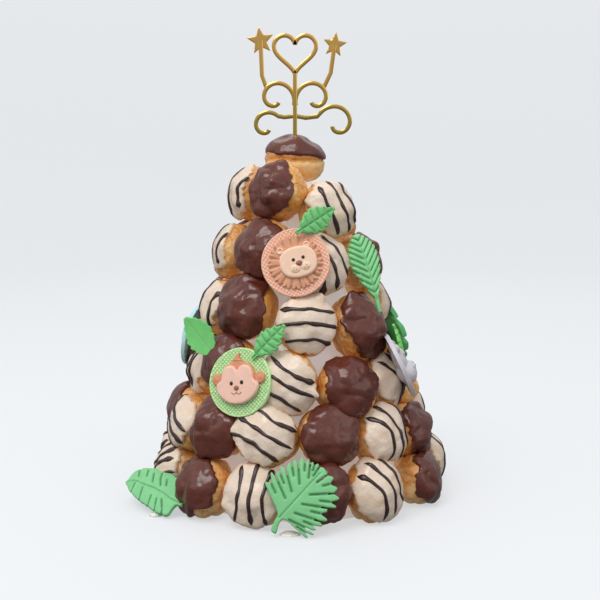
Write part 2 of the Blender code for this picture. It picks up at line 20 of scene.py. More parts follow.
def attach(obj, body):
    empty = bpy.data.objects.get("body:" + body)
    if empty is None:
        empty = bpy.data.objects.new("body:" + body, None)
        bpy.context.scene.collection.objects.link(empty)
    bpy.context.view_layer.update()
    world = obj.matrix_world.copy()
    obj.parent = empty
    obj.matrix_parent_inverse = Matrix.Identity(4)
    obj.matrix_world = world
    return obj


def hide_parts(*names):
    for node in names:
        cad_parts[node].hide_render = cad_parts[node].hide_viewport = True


bl_info = {
    "name": "Cream Puff Tower",
    "version": (1, 0, 0),
    "blender": (4, 5, 0),
    "location": "3D View > Sidebar > Puff Tower",
    "description": "Finishes a tower of cream puffs with coats, leaves and medallions",
    "category": "Object",
}

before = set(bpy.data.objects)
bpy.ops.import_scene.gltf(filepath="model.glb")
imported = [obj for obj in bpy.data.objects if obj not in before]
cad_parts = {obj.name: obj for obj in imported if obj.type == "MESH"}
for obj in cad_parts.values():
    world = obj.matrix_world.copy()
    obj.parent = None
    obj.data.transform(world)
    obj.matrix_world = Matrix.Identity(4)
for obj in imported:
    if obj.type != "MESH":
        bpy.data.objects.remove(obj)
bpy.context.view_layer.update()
MM = 0.001

# The tower, as the solids have it.
CONE_SLOPE = 0.30            # radius lost for each unit of height
LEAN = 0.015                 # drift of the tower's axis to -X for each unit of height
TOP_PUFF = "puff_7_dark"
TOP_COAT_BULGE = 2.2 * MM    # how far its coat is thicker half way down

# Share of the usual lumps, for the smooth top bun and some others.
LIVELY = {TOP_PUFF: 0.1, "puff_5b_dark": 0.8, "puff_4b_dark": 1.35, "puff_4d_dark": 1.15,
          "puff_6b_dark": 1.25, "puff_2b_striped": 1.2, "puff_2c_dark": 1.15}

# Reading a bun's skin from the corners of its solid: a smaller angle keeps more of the
# flats where buns press together.
BLEND_ANGLE = math.radians(20.0)
BUN_DETAIL = 5               # one more for the buns in CRAGGY
COAT_RINGS, COAT_SPOKES = 36, 108
BACK_COAT_RINGS, BACK_COAT_SPOKES = 20, 62
BACK_START = 45.0            # an azimuth short of every bun at the back
BACK_OVERLAP = 0.5           # degrees by which the shares of two buns in one solid overlap
BALL_DETAIL = 3
SHARP_ANGLE = math.radians(60.0)
FLOOR_GAP = 0.2 * MM         # nothing is lower than this

# A choux bun's waist: the groove where its dome broke away from its paler foot.
WAIST = math.radians(104.0)  # from the dome's top
WAIST_WIDTH = math.radians(6.0)
WAIST_DEPTH = 1.5 * MM

# The browner band of crust above the waist, and how brown it is, most on the top bun.
TOAST_ABOVE = math.radians(20.0)
TOAST_WIDTH = math.radians(16.0)
TOAST, TOP_TOAST = 0.45, 1.0

# Relief of the crust in millimetres.
BLISTER_HEIGHT, CRACK_DEPTH = 0.38, 0.60

# A coat from its top to its edge: where it begins to swell, over what part of the way and
# by what share of its thickness. Then its lip: where it starts, its width and how deep its
# edge lies under the skin.
SWELL_START, SWELL_WIDTH, SWELL = 0.62, 0.26, 0.45
LIP_START, LIP_WIDTH, LIP_SINK = 0.90, 0.10, 0.35

# A coat's ragged edge: its soft and its pointed waves round the dome, its drips, and how
# ragged the top bun's edge is next to that of the others.
SOFT_EDGE_WAVES, POINTED_EDGE_WAVES = (2, 3, 4, 5, 7, 9), (8, 11, 15)
DRIPS, DRIP_SPREAD = 2, 0.02
TOP_RAGGEDNESS = 0.3

# A coat's flow, as shares of its thickness: lobes, ripples between them and soft waves.
# An ivory coat is smoother than a dark one.
LOBES, RIPPLES, FLOW_LEVEL, SOFT_WAVES = 2.0, 0.5, 0.35, 0.35
IVORY_FLOW = 0.4

# Puffs that show much bare crust, whose cracks are finer.
CRAGGY = (TOP_PUFF, "puff_6a_striped", "puff_6b_dark", "puff_5a_striped", "puff_4d_dark",
          "puff_3d_dark", "puff_3f_plain", "puff_1c_dark", "puff_1g_dark")

# Drizzle lines on a bun's face. angle: 0 is level and 90 runs up the cone. spacing and
# shift are shares of the bun's reach. bow bends the lines.
Stripes = namedtuple("Stripes", "angle count spacing shift bow")
STRIPES = {
    "puff_6a_striped": Stripes(90, 2, 0.76, -0.40, 0.12),
    "puff_6c_striped": Stripes(106, 3, 0.52, -0.02, -0.34),
    "puff_5a_striped": Stripes(90, 2, 0.72, -0.40, 0.10),
    "puff_5c_striped": Stripes(-60, 3, 0.46, 0.05, -0.30),
    "puff_4a_striped": Stripes(84, 2, 0.66, -0.36, 0.12),
    "puff_4c_striped": Stripes(-3, 3, 0.52, -0.08, -0.06),
    "puff_4e_striped": Stripes(78, 3, 0.42, 0.00, 0.10),
    "puff_3a_striped": Stripes(88, 2, 0.45, -0.20, 0.10),
    "puff_3c_striped": Stripes(-30, 3, 0.48, 0.02, 0.06),
    "puff_3e_striped": Stripes(-66, 2, 0.55, 0.05, -0.16),
    "puff_2b_striped": Stripes(-38, 3, 0.46, 0.00, 0.10),
    "puff_2d_striped": Stripes(-27, 3, 0.48, 0.02, 0.06),
    "puff_2f_striped": Stripes(-72, 3, 0.46, 0.05, -0.20),
    "puff_1a_striped": Stripes(40, 3, 0.42, 0.00, 0.20),
    "puff_1b_striped": Stripes(38, 4, 0.36, 0.00, 0.10),
    "puff_1d_striped": Stripes(88, 3, 0.46, 0.00, -0.08),
    "puff_1f_striped": Stripes(-66, 3, 0.46, 0.02, -0.16),
    "puff_1h_striped": Stripes(86, 2, 0.46, 0.15, 0.10),
}
BACK_STRIPES = (
    Stripes(80, 3, 0.44, 0.00, 0.12),
    Stripes(-35, 3, 0.46, 0.00, 0.08),
    Stripes(12, 3, 0.48, 0.00, -0.06),
)
DRIZZLE_ENDS = 0.955         # how far out the ends of a straight line lie
DRIZZLE_REACH = 0.975        # and how far out a bent one may run
DRIZZLE_HEIGHT = 0.62        # of a line, as a share of its width
DRIZZLE_LIFT = 0.12 * MM     # of a line's middle off the coat
DRIZZLE_BLOB = 0.55          # how much wider a line is where it was started

# How far some coats sit off their bun's top, to the right and up in degrees, and their
# size as a share of the usual one.
COAT_PLACES = {
    TOP_PUFF: (5, -2, 1.2), "puff_6b_dark": (-20, 4, 1.0),
    "puff_5a_striped": (-14, 0, 1.0), "puff_5b_dark": (-4, 0, 1.0),
    "puff_4b_dark": (0, 0, 1.14), "puff_4c_striped": (0, -2, 0.98),
    "puff_4d_dark": (3, 4, 1.04),
    "puff_3b_dark": (0, 2, 1.06), "puff_3c_striped": (-6, -9, 1.0),
    "puff_3d_dark": (-9, 7, 0.95), "puff_3e_striped": (9, 0, 1.06),
    "puff_2c_dark": (-4, 5, 1.16), "puff_2d_striped": (0, 7, 1.0),
    "puff_2e_dark": (0, 0, 1.04), "puff_2f_striped": (5, 4, 1.08),
    "puff_1c_dark": (-20, 5, 1.12), "puff_1d_striped": (5, 4, 1.06),
    "puff_1f_striped": (4, 4, 1.12),
}

# Nibs where icing was drawn off a coat: angle from the dome's top, angle round it (0 is
# to the right, 90 up the cone) and rise in millimetres.
NIB_SPREAD = 0.012           # 1 - cos of the angle at which a nib is down to a third
NIBS = {
    "puff_4c_striped": ((62, 62, 4.0), (66, 118, 2.2)),
    "puff_3c_striped": ((68, -20, 4.0),),
    "puff_2d_striped": ((66, 176, 3.2),),
    "puff_4d_dark": ((66, 112, 3.0),),
    "puff_1d_striped": ((70, 200, 2.4),),
}

# Leaves. Lengths are in millimetres, as is everything drawn on a leaf or a disc.
# notch: depth of the notches between fingers, as a share of the half width
# slot: half width of a notch for blunt fingers, as a share of a finger, or 0 for teeth
# sweep: how far a finger leans towards the tip for each unit out from the midrib
# taper: the higher it is, the slimmer the blade's ends are
# peak: the lower it is, the nearer to the stem the blade is widest
# midrib, vein: depth of the midrib and of the line along each finger, as shares of the
# setting for veins
# groove: where the pressed groove between two fingers starts and ends, as shares of the
# half width, its half width and its depth
# pronged: whether each finger ends in two teeth
NO_GROOVE = (0.0, 0.0, 0.0, 0.0)
LeafForm = namedtuple(
    "LeafForm", "length width fingers notch sweep taper slot peak stem thickness midrib "
                "vein groove pronged", defaults=(0.0, 0.80, 2, 1.6, 1.0, 0.0, NO_GROOVE, False))
LEAF_FORMS = {
    "serrated": LeafForm(31, 18, 6, notch=0.20, sweep=0.22, taper=1.2, vein=0.9),
    "plain": LeafForm(31, 20, 7, notch=0.13, sweep=0.22, taper=1.0, midrib=0.25),
    "fern": LeafForm(50, 28, 10, notch=0.38, sweep=0.85, taper=1.0, slot=0.13, stem=10,
                     thickness=2.2, groove=(0.14, 0.86, 0.8, 1.6), pronged=True),
    "split": LeafForm(48, 44, 4, notch=0.50, sweep=0.40, taper=1.0, slot=0.12, peak=0.75,
                      stem=8, thickness=4.0),
}
LEAF_STEPS = 14              # stations along each finger

# Rolled paste: how far apart the points of a fine and of a plain form are, the rings of
# points on its rounded edge, as shares of the edge's width, and the edge's drop, likewise.
FINE_STEP, PLAIN_STEP = 0.55, 0.9
EDGE_RINGS = (0.12, 0.40, 0.80)
EDGE_DROP = 0.9
CLEARANCE = 0.8              # share of its distance from the edge that a ring must keep

# The palm leaf's fingers on each side, from the stem to the tip: the ends of its two
# prongs and the bottom of the slot after it, along the midrib and out from it.
PALM_LENGTH = 44.0
PALM_SLOT = 0.55             # half the width of a slot
PALM_NOTCH = 0.66            # where a slot starts, as a share of the way out
PALM_MOUTH = 0.86            # where it opens
PALM_DIP = 0.80              # where the dip between two prongs lies
PALM_BLUNT = 0.55            # half the width of a prong's end
PALM_LINE = 0.45             # where the line pressed into a finger starts
PALM_STEM = ((-4.0, -2.6), (-10.0, -5.2), (-10.8, -1.7), (-4.4, 1.1))
PALM_FINGERS = (
    (((10.0, 23.2), (17.4, 25.0), (11.4, 5.8)), ((20.4, 22.6), (24.6, 22.8), (17.6, 5.6)),
     ((30.4, 20.5), (34.5, 19.4), (25.0, 5.2)), ((39.2, 16.2), (41.6, 12.4), (32.2, 3.4)),
     ((42.0, 8.8), (43.6, 5.6), (35.6, 1.9)), ((44.2, 1.4), (44.3, 1.0), None)),
    (((2.6, 22.5), (6.8, 24.3), (2.6, 6.0)), ((10.0, 23.2), (14.9, 24.8), (8.6, 5.8)),
     ((20.2, 24.6), (24.8, 20.6), (16.4, 5.6)), ((30.6, 23.2), (36.0, 21.0), (24.6, 5.0)),
     ((40.6, 15.2), (43.8, 8.6), (34.0, 2.8)), ((44.2, 1.0), (44.3, 1.0), None)),
)

# The broad leaf's outline, midrib and pressed lines, drawn about its middle.
BROAD_OUTLINE = (
    (33.2, -1.6), (33.0, -5.0), (33.6, -9.5), (33.4, -13.6), (31.4, -16.0), (30.0, -16.2),
    (28.8, -18.0), (25.0, -19.5), (15.0, -21.5), (3.6, -22.0), (-5.5, -20.3),
    (-12.2, -16.8), (-17.5, -11.2), (-20.6, -6.4), (-23.4, -4.0), (-27.2, -3.9),
    (-28.4, -0.6), (-24.4, 0.3), (-23.2, 3.4), (-22.6, 9.0), (-20.2, 10.7), (-18.0, 10.5),
    (-15.7, 6.9), (-16.0, 10.8), (-13.0, 11.0), (-10.9, 10.8), (-8.8, 7.2), (-9.1, 10.6),
    (-6.0, 10.2), (-3.3, 9.6), (-1.7, 6.2), (-1.6, 9.3), (3.0, 8.7), (7.5, 7.9),
    (9.3, 4.2), (9.2, 7.5), (13.0, 6.7), (17.0, 5.7), (19.8, 4.5), (21.2, 1.2),
    (21.5, 3.9), (25.5, 2.5), (29.0, 0.4),
)
BROAD_MIDRIB = ((32.0, -2.2), (28.0, -4.6), (24.0, -5.4), (15.5, -5.0), (1.4, -4.8),
                (-9.0, -3.8), (-17.7, -2.1), (-27.0, -2.2))
BROAD_LINES = (
    ((29.4, -14.8), (24.8, -9.6)), ((21.9, -17.7), (17.3, -12.0)), ((13.6, -16.3), (7.8, -9.0)),
    ((7.2, -18.6), (3.0, -13.0), (-1.3, -8.6)), ((-2.1, -15.0), (-5.9, -10.2)),
    ((22.8, -3.2), (21.2, 1.8)), ((12.4, -2.2), (9.2, 5.0)), ((0.0, 1.4), (-1.8, 6.8)),
    ((-6.2, 1.8), (-8.9, 7.8)), ((-10.6, 0.9), (-15.9, 7.6)),
)

# form, scale, azimuth and lift of the face, direction of the midrib on it, cup, paste
Leaf = namedtuple("Leaf", "form scale azimuth lift midrib cup paste")
LEAVES = {
    "leaf_top": Leaf("serrated", 1.08, 20, 14, 30, 1.0, "grass"),
    "leaf_fern": Leaf("fern", 1.00, 30, 12, 104, 1.5, "frond"),
    "leaf_left": Leaf("plain", 1.20, -30, 6, 138, -1.0, "meadow"),
    "leaf_middle": Leaf("serrated", 1.00, -14, 14, 48, 1.0, "grass"),
    "leaf_palm": Leaf("palm", 1.00, -3, 22, 48, 1.5, "mint"),
    "leaf_broad": Leaf("broad", 1.00, -34, 48, 173, 2.5, "mint"),
    "leaf_split": Leaf("split", 1.20, 108, 18, 262, 1.5, "forest"),
    "leaf_small": Leaf("serrated", 0.90, 84, 16, 285, 1.0, "lime"),
}

# Medallions: azimuth and lift of the face, and the turn of its drawing.
DISC_RADIUS = 24.5
DISC_THICKNESS = 3.0
DISC_GAP = 0.2               # left between a disc and the coats pressed flat under it
DISC_PRESS = 6.0             # how deep into a coat a disc may press
MEDALLIONS = {
    "medallion_lion": (-4, 12, 14),
    "medallion_monkey": (-26, 14, 8),
    "medallion_elephant": (-104, 12, 0),
    "medallion_hippo": (92, 25, 0),
}


def srgb(red, green, blue):
    """Linear colour from the usual 0 to 255 values."""
    def linear(value):
        share = value / 255.0
        return share / 12.92 if share <= 0.04045 else ((share + 0.055) / 1.055) ** 2.4
    return (linear(red), linear(green), linear(blue))


def colour_property(name, description, default):
    return FloatVectorProperty(name=name, description=description, default=default,
                               subtype="COLOR", size=3, min=0.0, max=1.0)


def length_property(name, description, default):
    return FloatProperty(name=name, description=description, default=default,
                         unit="LENGTH", min=0.0, precision=4)


# Settings that a user would change.

class PuffSettings(bpy.types.PropertyGroup):
    crust: colour_property("Crust", "Golden baked choux", srgb(230, 161, 76))
    crust_pale: colour_property("Pale crust", "Less baked parts", srgb(248, 206, 142))
    # Dark crust also paints shade into the cracks of the crust.
    crust_dark: colour_property("Dark crust", "Creases and well baked parts",
                                srgb(186, 98, 30))
    dark: colour_property("Dark coat", "Chocolate coat", srgb(90, 42, 32))
    ivory: colour_property("Ivory coat", "White chocolate coat", srgb(234, 214, 195))
    drizzle: colour_property("Drizzle", "Lines over the ivory coats", srgb(50, 26, 25))
    coat_thickness: length_property("Coat thickness", "Thickness of a coat", 1.3 * MM)
    coat_spread: FloatProperty(name="Coat spread", description="Angle from a dome's top "
                               "to the edge of its coat", default=math.radians(74.0),
                               subtype="ANGLE", min=0.3, max=2.6)
    lump: length_property("Lumps", "Height of the soft lumps of a bun", 1.5 * MM)
    drizzle_width: length_property("Drizzle width", "Width of a drizzle line", 2.8 * MM)


class PasteSettings(bpy.types.PropertyGroup):
    mint: colour_property("Mint", "Most leaves", srgb(128, 204, 140))
    meadow: colour_property("Meadow", "The leaf that shows its back", srgb(118, 208, 118))
    grass: colour_property("Grass", "The two leaves by the medallions", srgb(116, 198, 120))
    forest: colour_property("Forest", "The split leaf", srgb(84, 186, 108))
    frond: colour_property("Frond", "The fern leaf", srgb(146, 228, 156))
    lime: colour_property("Lime", "The smallest leaf", srgb(126, 214, 108))
    vein_depth: length_property("Vein depth", "Depth of the pressed veins", 0.7 * MM)
    lion: colour_property("Lion disc", "Disc under the lion", srgb(255, 196, 168))
    mane: colour_property("Mane", "Ruffled mane", srgb(226, 163, 128))
    cream: colour_property("Cream", "The lion's face and ears", srgb(255, 213, 185))
    green: colour_property("Monkey disc", "Disc under the monkey", srgb(208, 248, 180))
    orange: colour_property("Fur", "The monkey's head and ears", srgb(222, 150, 112))
    peach: colour_property("Peach", "The monkey's face", srgb(246, 200, 180))
    blue: colour_property("Pale blue", "The elephant and its disc", srgb(190, 236, 244))
    grey: colour_property("Light grey", "The hippo and its disc", srgb(206, 202, 208))
    nose: colour_property("Nose", "Noses of the lion and the monkey", srgb(158, 102, 84))
    eye: colour_property("Eye", "Eyes", srgb(46, 26, 26))


class TrimSettings(bpy.types.PropertyGroup):
    # The two golds paint the sheet's reflection: brighter on its upper part, deeper on its lower
    # part.
    gold: colour_property("Gold", "Ornament, upper part", srgb(236, 188, 104))
    gold_low_painted_reflection: colour_property("Low gold", "Ornament, lower part", srgb(196, 170, 84))
    cone: colour_property("Cone", "The cone between the puffs", srgb(246, 243, 243))
    icing: colour_property("Icing", "Dabs of icing", srgb(246, 242, 232))


class StageSettings(bpy.types.PropertyGroup):
    floor: colour_property("Floor", "Floor and backdrop", srgb(150, 152, 155))
    glow: FloatProperty(name="Backdrop light", description="Light given off by the sweep",
                        default=0.54, min=0.0)
    key: FloatProperty(name="Key light", description="Power of the large soft light",
                       default=13.0, min=0.0, unit="POWER")
    fill: FloatProperty(name="Fill light", description="Power of the light on the right",
                        default=3.0, min=0.0, unit="POWER")
    sky: FloatProperty(name="Surroundings", description="Strength of the light from above",
                       default=0.80, min=0.0)
    shade: FloatProperty(name="Low light", description="Strength of the light from below",
                         default=0.22, min=0.0)


class TowerSettings(bpy.types.PropertyGroup):
    seed: IntProperty(name="Seed", description="Seed of every random draw", default=7)
    puffs: PointerProperty(type=PuffSettings)
    paste: PointerProperty(type=PasteSettings)
    trim: PointerProperty(type=TrimSettings)
    stage: PointerProperty(type=StageSettings)


def settings():
    return bpy.context.scene.puff_tower


# Random values that are fixed in space.

def lattice_values(cells, seed):
    """Values from -1 to 1 that depend only on the whole-number cell and the seed."""
    mixed = ((cells[..., 0] * 73856093) ^ (cells[..., 1] * 19349663)
             ^ (cells[..., 2] * 83492791) ^ (seed * 2654435761)) & 0xFFFFFFFF
    mixed = ((mixed ^ (mixed >> 13)) * 1274126177) & 0xFFFFFFFF
    mixed ^= mixed >> 16
    return mixed / 0x7FFFFFFF - 1.0


def soft_noise(points, size, seed):
    """Smooth values from -1 to 1 that change over about the size, in metres."""
    scaled = np.asarray(points) / size
    base = np.floor(scaled).astype(np.int64)
    part = scaled - base
    part = part * part * (3.0 - 2.0 * part)
    total = 0.0
    for corner in itertools.product((0, 1), repeat=3):
        weight = np.prod(np.where(corner, part, 1.0 - part), axis=-1)
        total = total + weight * lattice_values(base + np.array(corner), seed)
    return total


# Meshes and pieces.

def new_object(name, data):
    """An object with the data, in the scene."""
    made = bpy.data.objects.new(name, data)
    bpy.context.scene.collection.objects.link(made)
    return made


def new_mesh(name, points, faces, material):
    """A smooth mesh of one material."""
    mesh = bpy.data.meshes.new(name)
    mesh.from_pydata(points.tolist(), [], faces)
    mesh.shade_smooth()
    mesh.materials.append(material)
    return mesh


class Net:
    """Points, faces and a value for each point, gathered from several forms."""

    def __init__(self):
        self.points, self.faces, self.values = [], [], []
        self.count = 0

    def add(self, points, faces, values=None):
        """Take in a form, with values of 0 where none are given."""
        points = np.asarray(points, dtype=float)
        self.points.append(points)
        self.faces += [tuple(index + self.count for index in face) for face in faces]
        self.values.append(np.zeros(len(points)) if values is None else values)
        self.count += len(points)

    def make(self, name, material, replaced=(), matrix=None):
        """The finished piece, riding on the tower's body."""
        points = np.concatenate(self.points)
        if matrix is not None:
            points = points @ np.array(matrix.to_3x3()).T + np.array(matrix.translation)
        points[:, 2] = np.maximum(points[:, 2], FLOOR_GAP)
        mesh = new_mesh(name, points, self.faces, material)
        mesh.set_sharp_from_angle(angle=SHARP_ANGLE)
        layer = mesh.attributes.new("relief", "FLOAT", "POINT")
        layer.data.foreach_set("value", np.concatenate(self.values).astype(np.float32))
        piece = new_object(name, mesh)
        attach(piece, "root")
        if replaced:
            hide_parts(*replaced)
        return piece


def round_net(detail):
    """Directions and faces of an even net over the unit ball."""
    bm = bmesh.new()
    bmesh.ops.create_icosphere(bm, subdivisions=detail, radius=1.0)
    directions = np.array([vertex.co[:] for vertex in bm.verts])
    faces = [tuple(vertex.index for vertex in face.verts) for face in bm.faces]
    bm.free()
    return directions / np.linalg.norm(directions, axis=1)[:, None], faces


def ring_faces(rings, spokes):
    """Quads between rings of points.

    They face outwards if each ring runs anticlockwise, as seen from the first one's side.
    """
    faces = []
    for low in range(0, (rings - 1) * spokes, spokes):
        high = low + spokes
        for spoke in range(spokes):
            after = (spoke + 1) % spokes
            faces.append((low + spoke, high + spoke, high + after, low + after))
    return faces


def capped_rings(rings, spokes):
    """Ring faces with a fan at each end, round the two points that follow the rings."""
    faces = ring_faces(rings, spokes)
    middle, last = rings * spokes, (rings - 1) * spokes
    for spoke in range(spokes):
        after = (spoke + 1) % spokes
        faces += [(middle, spoke, after), (middle + 1, last + after, last + spoke)]
    return faces


def balls(net, forms):
    """Flattened balls in millimetres: x, y, height, half sizes, turn in degrees."""
    directions, faces = round_net(BALL_DETAIL)
    for x, y, level, wide, high, rise, turn in forms:
        spin = np.array(Matrix.Rotation(math.radians(turn), 3, "Z"))
        points = directions * (np.array((wide, high, rise)) * MM)
        net.add(points @ spin.T + np.array((x, y, level)) * MM, faces)


def both_sides(x, y, level, wide, high, rise, turn=0.0):
    """The same ball at the left and at the right."""
    return ((-x, y, level, wide, high, rise, turn), (x, y, level, wide, high, rise, -turn))


def tube(net, path, widths, heights, ups, sides=8):
    """A closed tube along a path, with its own width and height at each point."""
    path, ups = np.asarray(path), np.asarray(ups)
    along = np.gradient(path, axis=0)
    along /= np.linalg.norm(along, axis=1)[:, None]
    across = np.cross(along, ups)
    across /= np.linalg.norm(across, axis=1)[:, None]
    ups = np.cross(across, along)
    angles = np.arange(sides) * 2.0 * math.pi / sides
    wide = np.asarray(widths)[:, None, None] * np.cos(angles)[None, :, None] / 2.0
    high = np.asarray(heights)[:, None, None] * np.sin(angles)[None, :, None] / 2.0
    rings = path[:, None, :] + across[:, None, :] * wide + ups[:, None, :] * high
    net.add(np.concatenate([rings.reshape(-1, 3), path[:1], path[-1:]]),
            capped_rings(len(path), sides))


def rounded_ends(count, ends):
    """Shares of the full size along a tube whose first and last points close in."""
    steps = np.minimum(np.arange(count), np.arange(count)[::-1]) / float(ends)
    return np.sqrt(np.clip(1.0 - (1.0 - np.clip(steps, 0.0, 1.0)) ** 2, 0.01, 1.0))


# Materials.

class Finish:
    """A Principled material with helpers that add procedural detail to it."""

    def __init__(self, name, roughness, **sockets):
        self.material = bpy.data.materials.new(name)
        self.material.use_nodes = True
        self.tree = self.material.node_tree
        self.shader = self.tree.nodes["Principled BSDF"]
        self.shader.inputs["Roughness"].default_value = roughness
        for socket, value in sockets.items():
            self.shader.inputs[socket.replace("_", " ")].default_value = value
        self.place = self.tree.nodes.new("ShaderNodeTexCoord").outputs["Object"]

    def link(self, source, socket):
        """Feed a socket with another node's output, or with a plain value."""
        if isinstance(source, bpy.types.NodeSocket):
            self.tree.links.new(source, socket)
        elif socket.type == "RGBA":
            socket.default_value = (*source, 1.0)
        else:
            socket.default_value = source

    def noise(self, size, detail=3.0, roughness=0.55, stretch=(1.0, 1.0, 1.0)):
        """Noise that changes over the size, in metres."""
        place = self.place
        if stretch != (1.0, 1.0, 1.0):
            mapping = self.tree.nodes.new("ShaderNodeMapping")
            mapping.inputs["Scale"].default_value = stretch
            self.link(self.place, mapping.inputs["Vector"])
            place = mapping.outputs["Vector"]
        node = self.tree.nodes.new("ShaderNodeTexNoise")
        node.inputs["Scale"].default_value = 1.0 / size
        node.inputs["Detail"].default_value = detail
        node.inputs["Roughness"].default_value = roughness
        self.link(place, node.inputs["Vector"])
        return node.outputs["Fac"]

    def cells(self, size):
        """Distance to the edges of irregular cells of the size, in metres."""
        node = self.tree.nodes.new("ShaderNodeTexVoronoi")
        node.feature = "DISTANCE_TO_EDGE"
        node.inputs["Scale"].default_value = 1.0 / size
        self.link(self.place, node.inputs["Vector"])
        return node.outputs["Distance"]

    def height(self):
        """Height above the tower's foot."""
        axes = self.tree.nodes.new("ShaderNodeSeparateXYZ")
        self.link(self.place, axes.inputs["Vector"])
        return axes.outputs["Z"]

    def relief(self):
        """The value stored with the mesh."""
        node = self.tree.nodes.new("ShaderNodeAttribute")
        node.attribute_name = "relief"
        return node.outputs["Fac"]

    def spread(self, source, low, high, start=0.0, end=1.0):
        """The part of a value between low and high, spread from start to end."""
        node = self.tree.nodes.new("ShaderNodeMapRange")
        self.link(source, node.inputs["Value"])
        limits = (("From Min", low), ("From Max", high), ("To Min", start), ("To Max", end))
        for name, value in limits:
            node.inputs[name].default_value = value
        return node.outputs["Result"]

    def mix(self, factor, first, second):
        """The first colour, turning into the second as the factor goes from 0 to 1."""
        node = self.tree.nodes.new("ShaderNodeMix")
        node.data_type = "RGBA"
        self.link(factor, node.inputs["Factor"])
        sockets = [socket for socket in node.inputs if socket.type == "RGBA"]
        self.link(first, sockets[0])
        self.link(second, sockets[1])
        return next(socket for socket in node.outputs if socket.type == "RGBA")

    def colour(self, source):
        self.link(source, self.shader.inputs["Base Color"])

    def rough(self, size, low, high):
        """Roughness between the two values, which changes over the size."""
        self.link(self.spread(self.noise(size), 0.3, 0.7, low, high),
                  self.shader.inputs["Roughness"])

    def bump(self, height, depth):
        """Raise the surface by up to the depth, over any bump that is there already."""
        node = self.tree.nodes.new("ShaderNodeBump")
        node.inputs["Distance"].default_value = depth
        self.link(height, node.inputs["Height"])
        normal = self.shader.inputs["Normal"]
        if normal.is_linked:
            self.link(normal.links[0].from_socket, node.inputs["Normal"])
        self.link(node.outputs["Normal"], normal)


def toned(colour, factor):
    """The colour, made lighter or darker."""
    return tuple(min(1.0, channel * factor) for channel in colour)


def crust_finish(look):
    """Golden crust in uneven patches, with painted shade in its cracks, browner above its waist
    and pale at its foot.
    """
    finish = Finish("baked choux", 0.5, Subsurface_Weight=0.12, Subsurface_Scale=0.003,
                    Coat_Weight=0.30, Coat_Roughness=0.25)
    patches = finish.spread(finish.noise(9 * MM), 0.38, 0.56)
    baked = finish.mix(patches, look.crust_pale, look.crust)
    darker = finish.spread(finish.noise(6 * MM, 4.0), 0.52, 0.70, 0.0, 0.65)
    baked = finish.mix(darker, baked, look.crust_dark)
    # Pale flecks at random, which paint small highlights on the crust.
    painted_highlight_flecks = finish.spread(finish.noise(2.6 * MM, 3.0), 0.58, 0.70, 0.0, 0.6)
    baked = finish.mix(painted_highlight_flecks, baked, look.crust_pale)
    speckle = finish.spread(finish.noise(1.3 * MM, 2.0), 0.60, 0.76, 0.0, 0.35)
    baked = finish.mix(speckle, baked, toned(look.crust_dark, 0.8))
    # Painted shade in the cracks, and the really browner band above the waist, both from the
    # stored value.
    baked = finish.mix(finish.spread(finish.relief(), 0.10, 0.9, 0.0, 0.5), baked,
                       look.crust_dark)
    baked = finish.mix(finish.spread(finish.relief(), -0.2, -1.0, 0.0, 0.85), baked,
                       look.crust_pale)
    finish.colour(baked)
    finish.rough(3 * MM, 0.34, 0.56)
    finish.bump(finish.noise(2.4 * MM, 4.0, 0.62), 0.6 * MM)
    finish.bump(finish.cells(2.6 * MM), 0.2 * MM)
    return finish.material


def dark_finish(look):
    """Dark chocolate with a faint bloom and crumbs of crust."""
    finish = Finish("dark coat", 0.3)
    bloom = finish.spread(finish.noise(7 * MM), 0.35, 0.70)
    glaze = finish.mix(bloom, look.dark, toned(look.dark, 1.35))
    dust = finish.spread(finish.noise(1.0 * MM, 1.0), 0.70, 0.76, 0.0, 0.35)
    finish.colour(finish.mix(dust, glaze, toned(look.crust_dark, 0.8)))
    finish.rough(4 * MM, 0.16, 0.28)
    finish.bump(finish.noise(6 * MM, 1.0), 0.6 * MM)
    finish.bump(finish.noise(1.6 * MM, 2.0), 0.05 * MM)
    return finish.material


def ivory_finish(look):
    """White chocolate that lets the crust show where it is thin."""
    finish = Finish("ivory coat", 0.36, Subsurface_Weight=0.15, Subsurface_Scale=0.002)
    thin = finish.spread(finish.noise(8 * MM), 0.52, 0.75, 0.0, 0.40)
    coat = finish.mix(thin, look.ivory, toned(look.crust_pale, 0.98))
    edge = finish.spread(finish.relief(), 0.80, 1.0, 0.0, 0.30)
    finish.colour(finish.mix(edge, coat, look.crust_pale))
    finish.rough(4 * MM, 0.20, 0.38)
    finish.bump(finish.noise(3.2 * MM, 3.0), 0.6 * MM)
    finish.bump(finish.noise(0.9 * MM, 2.0), 0.05 * MM)
    return finish.material


def drizzle_finish(look):
    """Dark lines with a satin gloss."""
    finish = Finish("dark drizzle", 0.3, Coat_Weight=0.12, Coat_Roughness=0.2)
    bloom = finish.spread(finish.noise(3 * MM), 0.35, 0.70)
    finish.colour(finish.mix(bloom, look.drizzle, toned(look.drizzle, 1.5)))
    finish.rough(2 * MM, 0.22, 0.40)
    finish.bump(finish.noise(1.5 * MM, 2.0), 0.15 * MM)
    return finish.material


def paste_finish(name, colour, deep):
    """Rolled sugar paste: matt and fine-grained, with painted shade where it is pressed in."""
    finish = Finish(name, 0.5, Subsurface_Weight=0.12, Subsurface_Scale=0.0015)
    uneven = finish.spread(finish.noise(6 * MM), 0.30, 0.70)
    paste = finish.mix(uneven, toned(colour, 0.95), toned(colour, 1.05))
    # Painted shade in the pressed hollows, down to the colour toned by deep.
    painted_hollow_shade = finish.spread(finish.relief(), 0.0, 1.0)
    finish.colour(finish.mix(painted_hollow_shade, paste, toned(colour, deep)))
    finish.rough(3 * MM, 0.42, 0.58)
    finish.bump(finish.noise(0.7 * MM, 3.0, 0.6), 0.05 * MM)
    finish.bump(finish.noise(4 * MM, 2.0), 0.12 * MM)
    return finish.material


